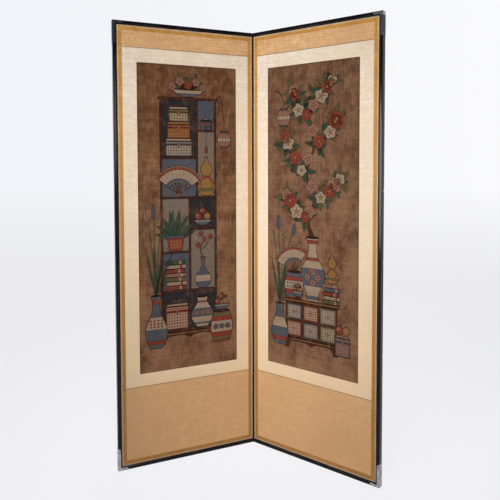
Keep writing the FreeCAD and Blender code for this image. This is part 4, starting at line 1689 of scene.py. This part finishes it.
@dataclass
class ClothHinge:
    """The interleaved cloth strips that join the panels, each from one front round the other's edge."""

    thickness: float = 0.5 * MM
    fold_round: float = 0.35 * MM
    reach: float = 0.7 * MM
    clear: float = 0.3 * MM
    finish: HingeFinish = HingeFinish()

    def path(self, front: Panel, edge: Panel) -> list[Vector]:
        """Lists the folds of one strip, from its front flap to its back flap.

        Args:
            front: The panel that has the front flap.
            edge: The panel whose edge the strip goes round.

        Returns:
            The folds in the row frame, at height 0.
        """
        leaf, wrap = front.box("hinge_front_leaves"), edge.box("hinge_edge_leaves")
        edging = front.box("edging")
        skin = self.thickness / 2 + TOUCH
        lining, back = front.box("front_lining").mid.y, edge.box("back_lining").mid.y
        top, far = leaf.low.y + skin, wrap.high.y - skin
        lap = abs(edging.low.x if front.side is Side.RIGHT else edging.high.x) - skin
        flap = max(abs(leaf.low.x), abs(leaf.high.x)) - skin
        # The cloth lies as far from the fold line on each panel as it lies below the front
        ways = (
            (front, flap, lining), (front, lap, lining), (front, lap, top), (front, top, top),
            (edge, top, top), (edge, top, far), (edge, lap, far), (edge, lap, back), (edge, flap, back),
        )
        return [panel.place @ Vector((panel.side.value * u, y, 0)) for panel, u, y in ways]

    def build(self, front: Panel, edge: Panel) -> None:
        """Folds three strips round the fold.

        Args:
            front: The panel that has the front flaps.
            edge: The panel whose edge the strips go round.
        """
        folds, spans = self.path(front, edge), self.spans(front)
        low, high = spans[0]
        name = f"hinge_cloth_{front.side.word}_front"
        piece = self.strip(name, folds, low, high)
        with editing(piece):
            for start, _ in spans[1:]:
                select_points(piece, lambda spot: low - MM < spot.z < high + MM)
                bpy.ops.mesh.duplicate_move(TRANSFORM_OT_translate={"value": (0, 0, start - low)})
        self.strip(name + "_end", folds[2:7], *self.end_span(front, spans))
        piece.select_set(True)
        bpy.context.view_layer.objects.active = piece
        bpy.ops.object.join()
        with editing(piece):
            bpy.ops.mesh.normals_make_consistent(inside=False)
        bends = {"limit_method": "ANGLE", "angle_limit": math.radians(20)}
        apply_modifier(piece, "BEVEL", width=self.fold_round, segments=2, **bends)
        apply_modifier(piece, "SOLIDIFY", thickness=self.thickness, offset=0.0)
        bpy.ops.object.shade_smooth_by_angle(angle=SMOOTH_ANGLE)
        dress(piece, self.finish.make())
        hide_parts(front.name("hinge_front_leaves"), edge.name("hinge_edge_leaves"))
        across = Vector((self.reach, 0, 0))
        start, end = front.fold - across, front.fold + across
        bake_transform(piece)
        laths = [front.name("hinge_lath"), edge.name("hinge_lath")]
        LOG.info("%s bends between the panels", piece.name)

    def strip(self, name: str, folds: Sequence[Vector], low: float, high: float) -> Piece:
        """Makes one strip of cloth along its folds.

        Args:
            name: The strip's name.
            folds: The folds, at height 0.
            low: The strip's foot.
            high: The strip's head.

        Returns:
            The strip, a skin with no thickness.
        """
        bpy.ops.object.select_all(action="DESELECT")
        bpy.ops.mesh.primitive_plane_add(size=1)
        strip = bpy.context.object
        strip.name = strip.data.name = name
        corners = [fold + Vector((0, 0, height)) for height in (low, high) for fold in folds[:2]]
        for vertex, spot in zip(strip.data.vertices, corners):
            vertex.co = spot
        with editing(strip):
            select_points(strip, lambda spot: (spot - folds[1]).xy.length < MERGE_WITHIN)
            for start, end in zip(folds[1:], folds[2:]):
                bpy.ops.mesh.extrude_edges_move(TRANSFORM_OT_translate={"value": end - start})
        return strip

    def end_span(self, front: Panel, spans: Sequence[Point]) -> Point:
        """Finds the heights of the short strip that closes the fold between the rails' ends.

        Args:
            front: The panel that has the front flaps.
            spans: The foot and head of its strips.

        Returns:
            The short strip's foot and head.
        """
        if front.side is Side.LEFT:
            return front.box("bottom_rail").low.z + self.clear, spans[0][0]
        return spans[-1][1], front.box("top_rail").high.z - self.clear

    def spans(self, front: Panel) -> list[Point]:
        """Finds the foot and head of each strip from the CAD leaves on the front."""
        heights = sorted({round(v.co.z, 5) for v in front.node("hinge_front_leaves").data.vertices})
        return list(zip(heights[::2], heights[1::2]))


@dataclass
class Softbox:
    """One soft lamp behind a grid, pointed at the middle of the screen."""

    name: str
    spot: tuple[float, float, float]
    size: float
    power: float
    grid: float
    tall: float = 1.0
    tone: str = "ffffff"
    mirrored: bool = False
    spreads: bool = True

    def build(self, target: Vector) -> None:
        """Hangs the lamp.

        Args:
            target: What it points at.
        """
        lamp = bpy.data.lights.new(self.name, "AREA")
        lamp.shape = "ELLIPSE"
        lamp.size = self.size
        lamp.size_y = self.size * self.tall
        lamp.color = tint(self.tone)
        lamp.energy = self.power
        lamp.spread = math.radians(self.grid)
        stand = bpy.data.objects.new(self.name, lamp)
        stand.visible_camera = False
        stand.visible_glossy = self.mirrored
        stand.visible_diffuse = self.spreads
        bpy.context.scene.collection.objects.link(stand)
        stand.location = self.spot
        stand.rotation_euler = (target - Vector(self.spot)).to_track_quat("-Z", "Y").to_euler()


@dataclass
class Studio:
    """The pale sweep, the soft light and the camera."""

    half_floor: float = 9.0
    sweep_back: float = 5.0
    sweep_height: float = 9.0
    sweep_bend: float = 2.0
    ambient: float = 0.30
    room: str = "f2f2f5"
    eye: tuple[float, float, float] = (0.25758, -2.14033, 1.20638)
    yaw: float = 6.553
    pitch: float = -2.571
    roll: float = -0.142
    sensor: float = 36.0
    lens: float = 38.854
    shift: Point = (-0.0043, -0.1253)
    aim: tuple[float, float, float] = (0.0, 0.0, 0.9)
    lamps: tuple[Softbox, ...] = (
        Softbox("key_softbox", (-2.3, -2.9, 3.0), 1.6, 6.5, 40.0),
        Softbox("front_softbox", (0.2, -3.2, 2.4), 1.0, 2.5, 30.0),
        Softbox("top_softbox", (0.05, -1.5, 2.9), 1.0, 6.6, 60.0),
        Softbox("rear_softbox", (0.0, 2.6, 4.0), 1.6, 8.0, 60.0, mirrored=True),
        Softbox("left_strip", (-0.692, -1.066, 1.14), 0.17, 4.6, 90.0, 6.0, "f4eef8", True, False),
        Softbox("right_strip", (1.59, -2.78, 1.52), 0.2, 1.35, 60.0, 5.5, "f0e8f4", True, False),
    )
    flag: str = "0a0a0c"
    flag_radius: float = 4.4
    flag_height: float = 6.0

    def build(self) -> None:
        """Sets the stage."""
        self.lay_sweep()
        self.hang_flag()
        self.hang_lights()
        self.set_camera()
        bpy.context.scene.view_settings.view_transform = "Standard"

    def lay_sweep(self) -> None:
        """Makes the floor and backdrop as one bent sheet."""
        bpy.ops.object.select_all(action="DESELECT")
        middle = (0, self.sweep_back - self.half_floor, 0)
        bpy.ops.mesh.primitive_plane_add(size=2 * self.half_floor, location=middle)
        sweep = bpy.context.object
        sweep.name = "studio_sweep"
        bpy.ops.object.transform_apply(location=True, rotation=True, scale=True)
        with editing(sweep):
            select_points(sweep, lambda spot: spot.y > self.sweep_back - self.sweep_bend)
            bpy.ops.mesh.extrude_edges_move(TRANSFORM_OT_translate={"value": (0, 0, self.sweep_height)})
        apply_modifier(sweep, "BEVEL", width=self.sweep_bend, segments=14, limit_method="ANGLE")
        bpy.ops.object.shade_smooth()
        dress(sweep, BackdropFinish().make())

    def hang_flag(self) -> None:
        """Hangs a dark half round cloth behind the camera, which only the reflections see."""
        bpy.ops.object.select_all(action="DESELECT")
        bpy.ops.mesh.primitive_cylinder_add(
            vertices=64, radius=self.flag_radius, depth=self.flag_height, end_fill_type="NOTHING",
            location=(0, 0, self.flag_height / 2),
        )
        flag = bpy.context.object
        flag.name = "studio_flag"
        bpy.ops.object.transform_apply(location=True, rotation=True, scale=True)
        with editing(flag):
            bpy.ops.mesh.bisect(plane_co=(0, 0, 0), plane_no=(0, 1, 0), clear_outer=True)
        for ray in ("camera", "diffuse", "transmission", "shadow"):
            setattr(flag, "visible_" + ray, False)
        cloth = Bench("flag_cloth").done(Base_Color=tint(self.flag), Roughness=0.95, Specular_IOR_Level=0.0)
        dress(flag, cloth)

    def hang_lights(self) -> None:
        """Adds the lamps and the even light of the room."""
        world = bpy.data.worlds.new("studio_room")
        world.use_nodes = True
        tree = world.node_tree
        light = tree.nodes["Background"]
        light.inputs["Strength"].default_value = self.ambient
        light.inputs["Color"].default_value = (1.0, 1.0, 1.0, 1.0)
        shown = tree.nodes.new("ShaderNodeBackground")
        shown.inputs["Color"].default_value = (*tint(self.room), 1.0)
        mixed = tree.nodes.new("ShaderNodeMixShader")
        for number, output in enumerate((seen_share(tree), light.outputs[0], shown.outputs[0])):
            tree.links.new(output, mixed.inputs[number])
        tree.links.new(mixed.outputs[0], tree.nodes["World Output"].inputs["Surface"])
        bpy.context.scene.world = world
        for lamp in self.lamps:
            lamp.build(Vector(self.aim))

    def set_camera(self) -> None:
        """Puts the camera where the view was taken from."""
        data = bpy.data.cameras.new("camera")
        data.sensor_width = self.sensor
        data.lens = self.lens
        data.shift_x, data.shift_y = self.shift
        camera = bpy.data.objects.new("camera", data)
        bpy.context.scene.collection.objects.link(camera)
        camera.location = self.eye
        turn = Euler((math.radians(90 + self.pitch), 0, math.radians(self.yaw)), "XYZ").to_matrix()
        tilt = Matrix.Rotation(math.radians(self.roll), 3, "Z")
        camera.rotation_euler = (turn @ tilt).to_euler()
        bpy.context.scene.camera = camera


def main() -> None:
    """Builds the screen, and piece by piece."""
    logging.basicConfig(level=logging.INFO, format="%(name)s: %(message)s")
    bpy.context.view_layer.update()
    fold = frame["joints"][0]
    half_angle = math.radians(-fold["range_deg"][0]) / 2
    panels = [Panel(side, Vector(fold["pos_m"]), half_angle) for side in Side]
    assemblies = (LacquerFrame(), CornerBrackets(), SilkMount(), PaintedPicture(), BackCover(), InnerWork())
    for panel in panels:
        for assembly in assemblies:
            assembly.build(panel)
            LOG.info("%s %s done", panel.side.word, type(assembly).__name__)
    left, right = panels
    ClothHinge().build(left, right)
    ClothHinge().build(right, left)
    Studio().build()


if __name__ == "__main__":
    main()
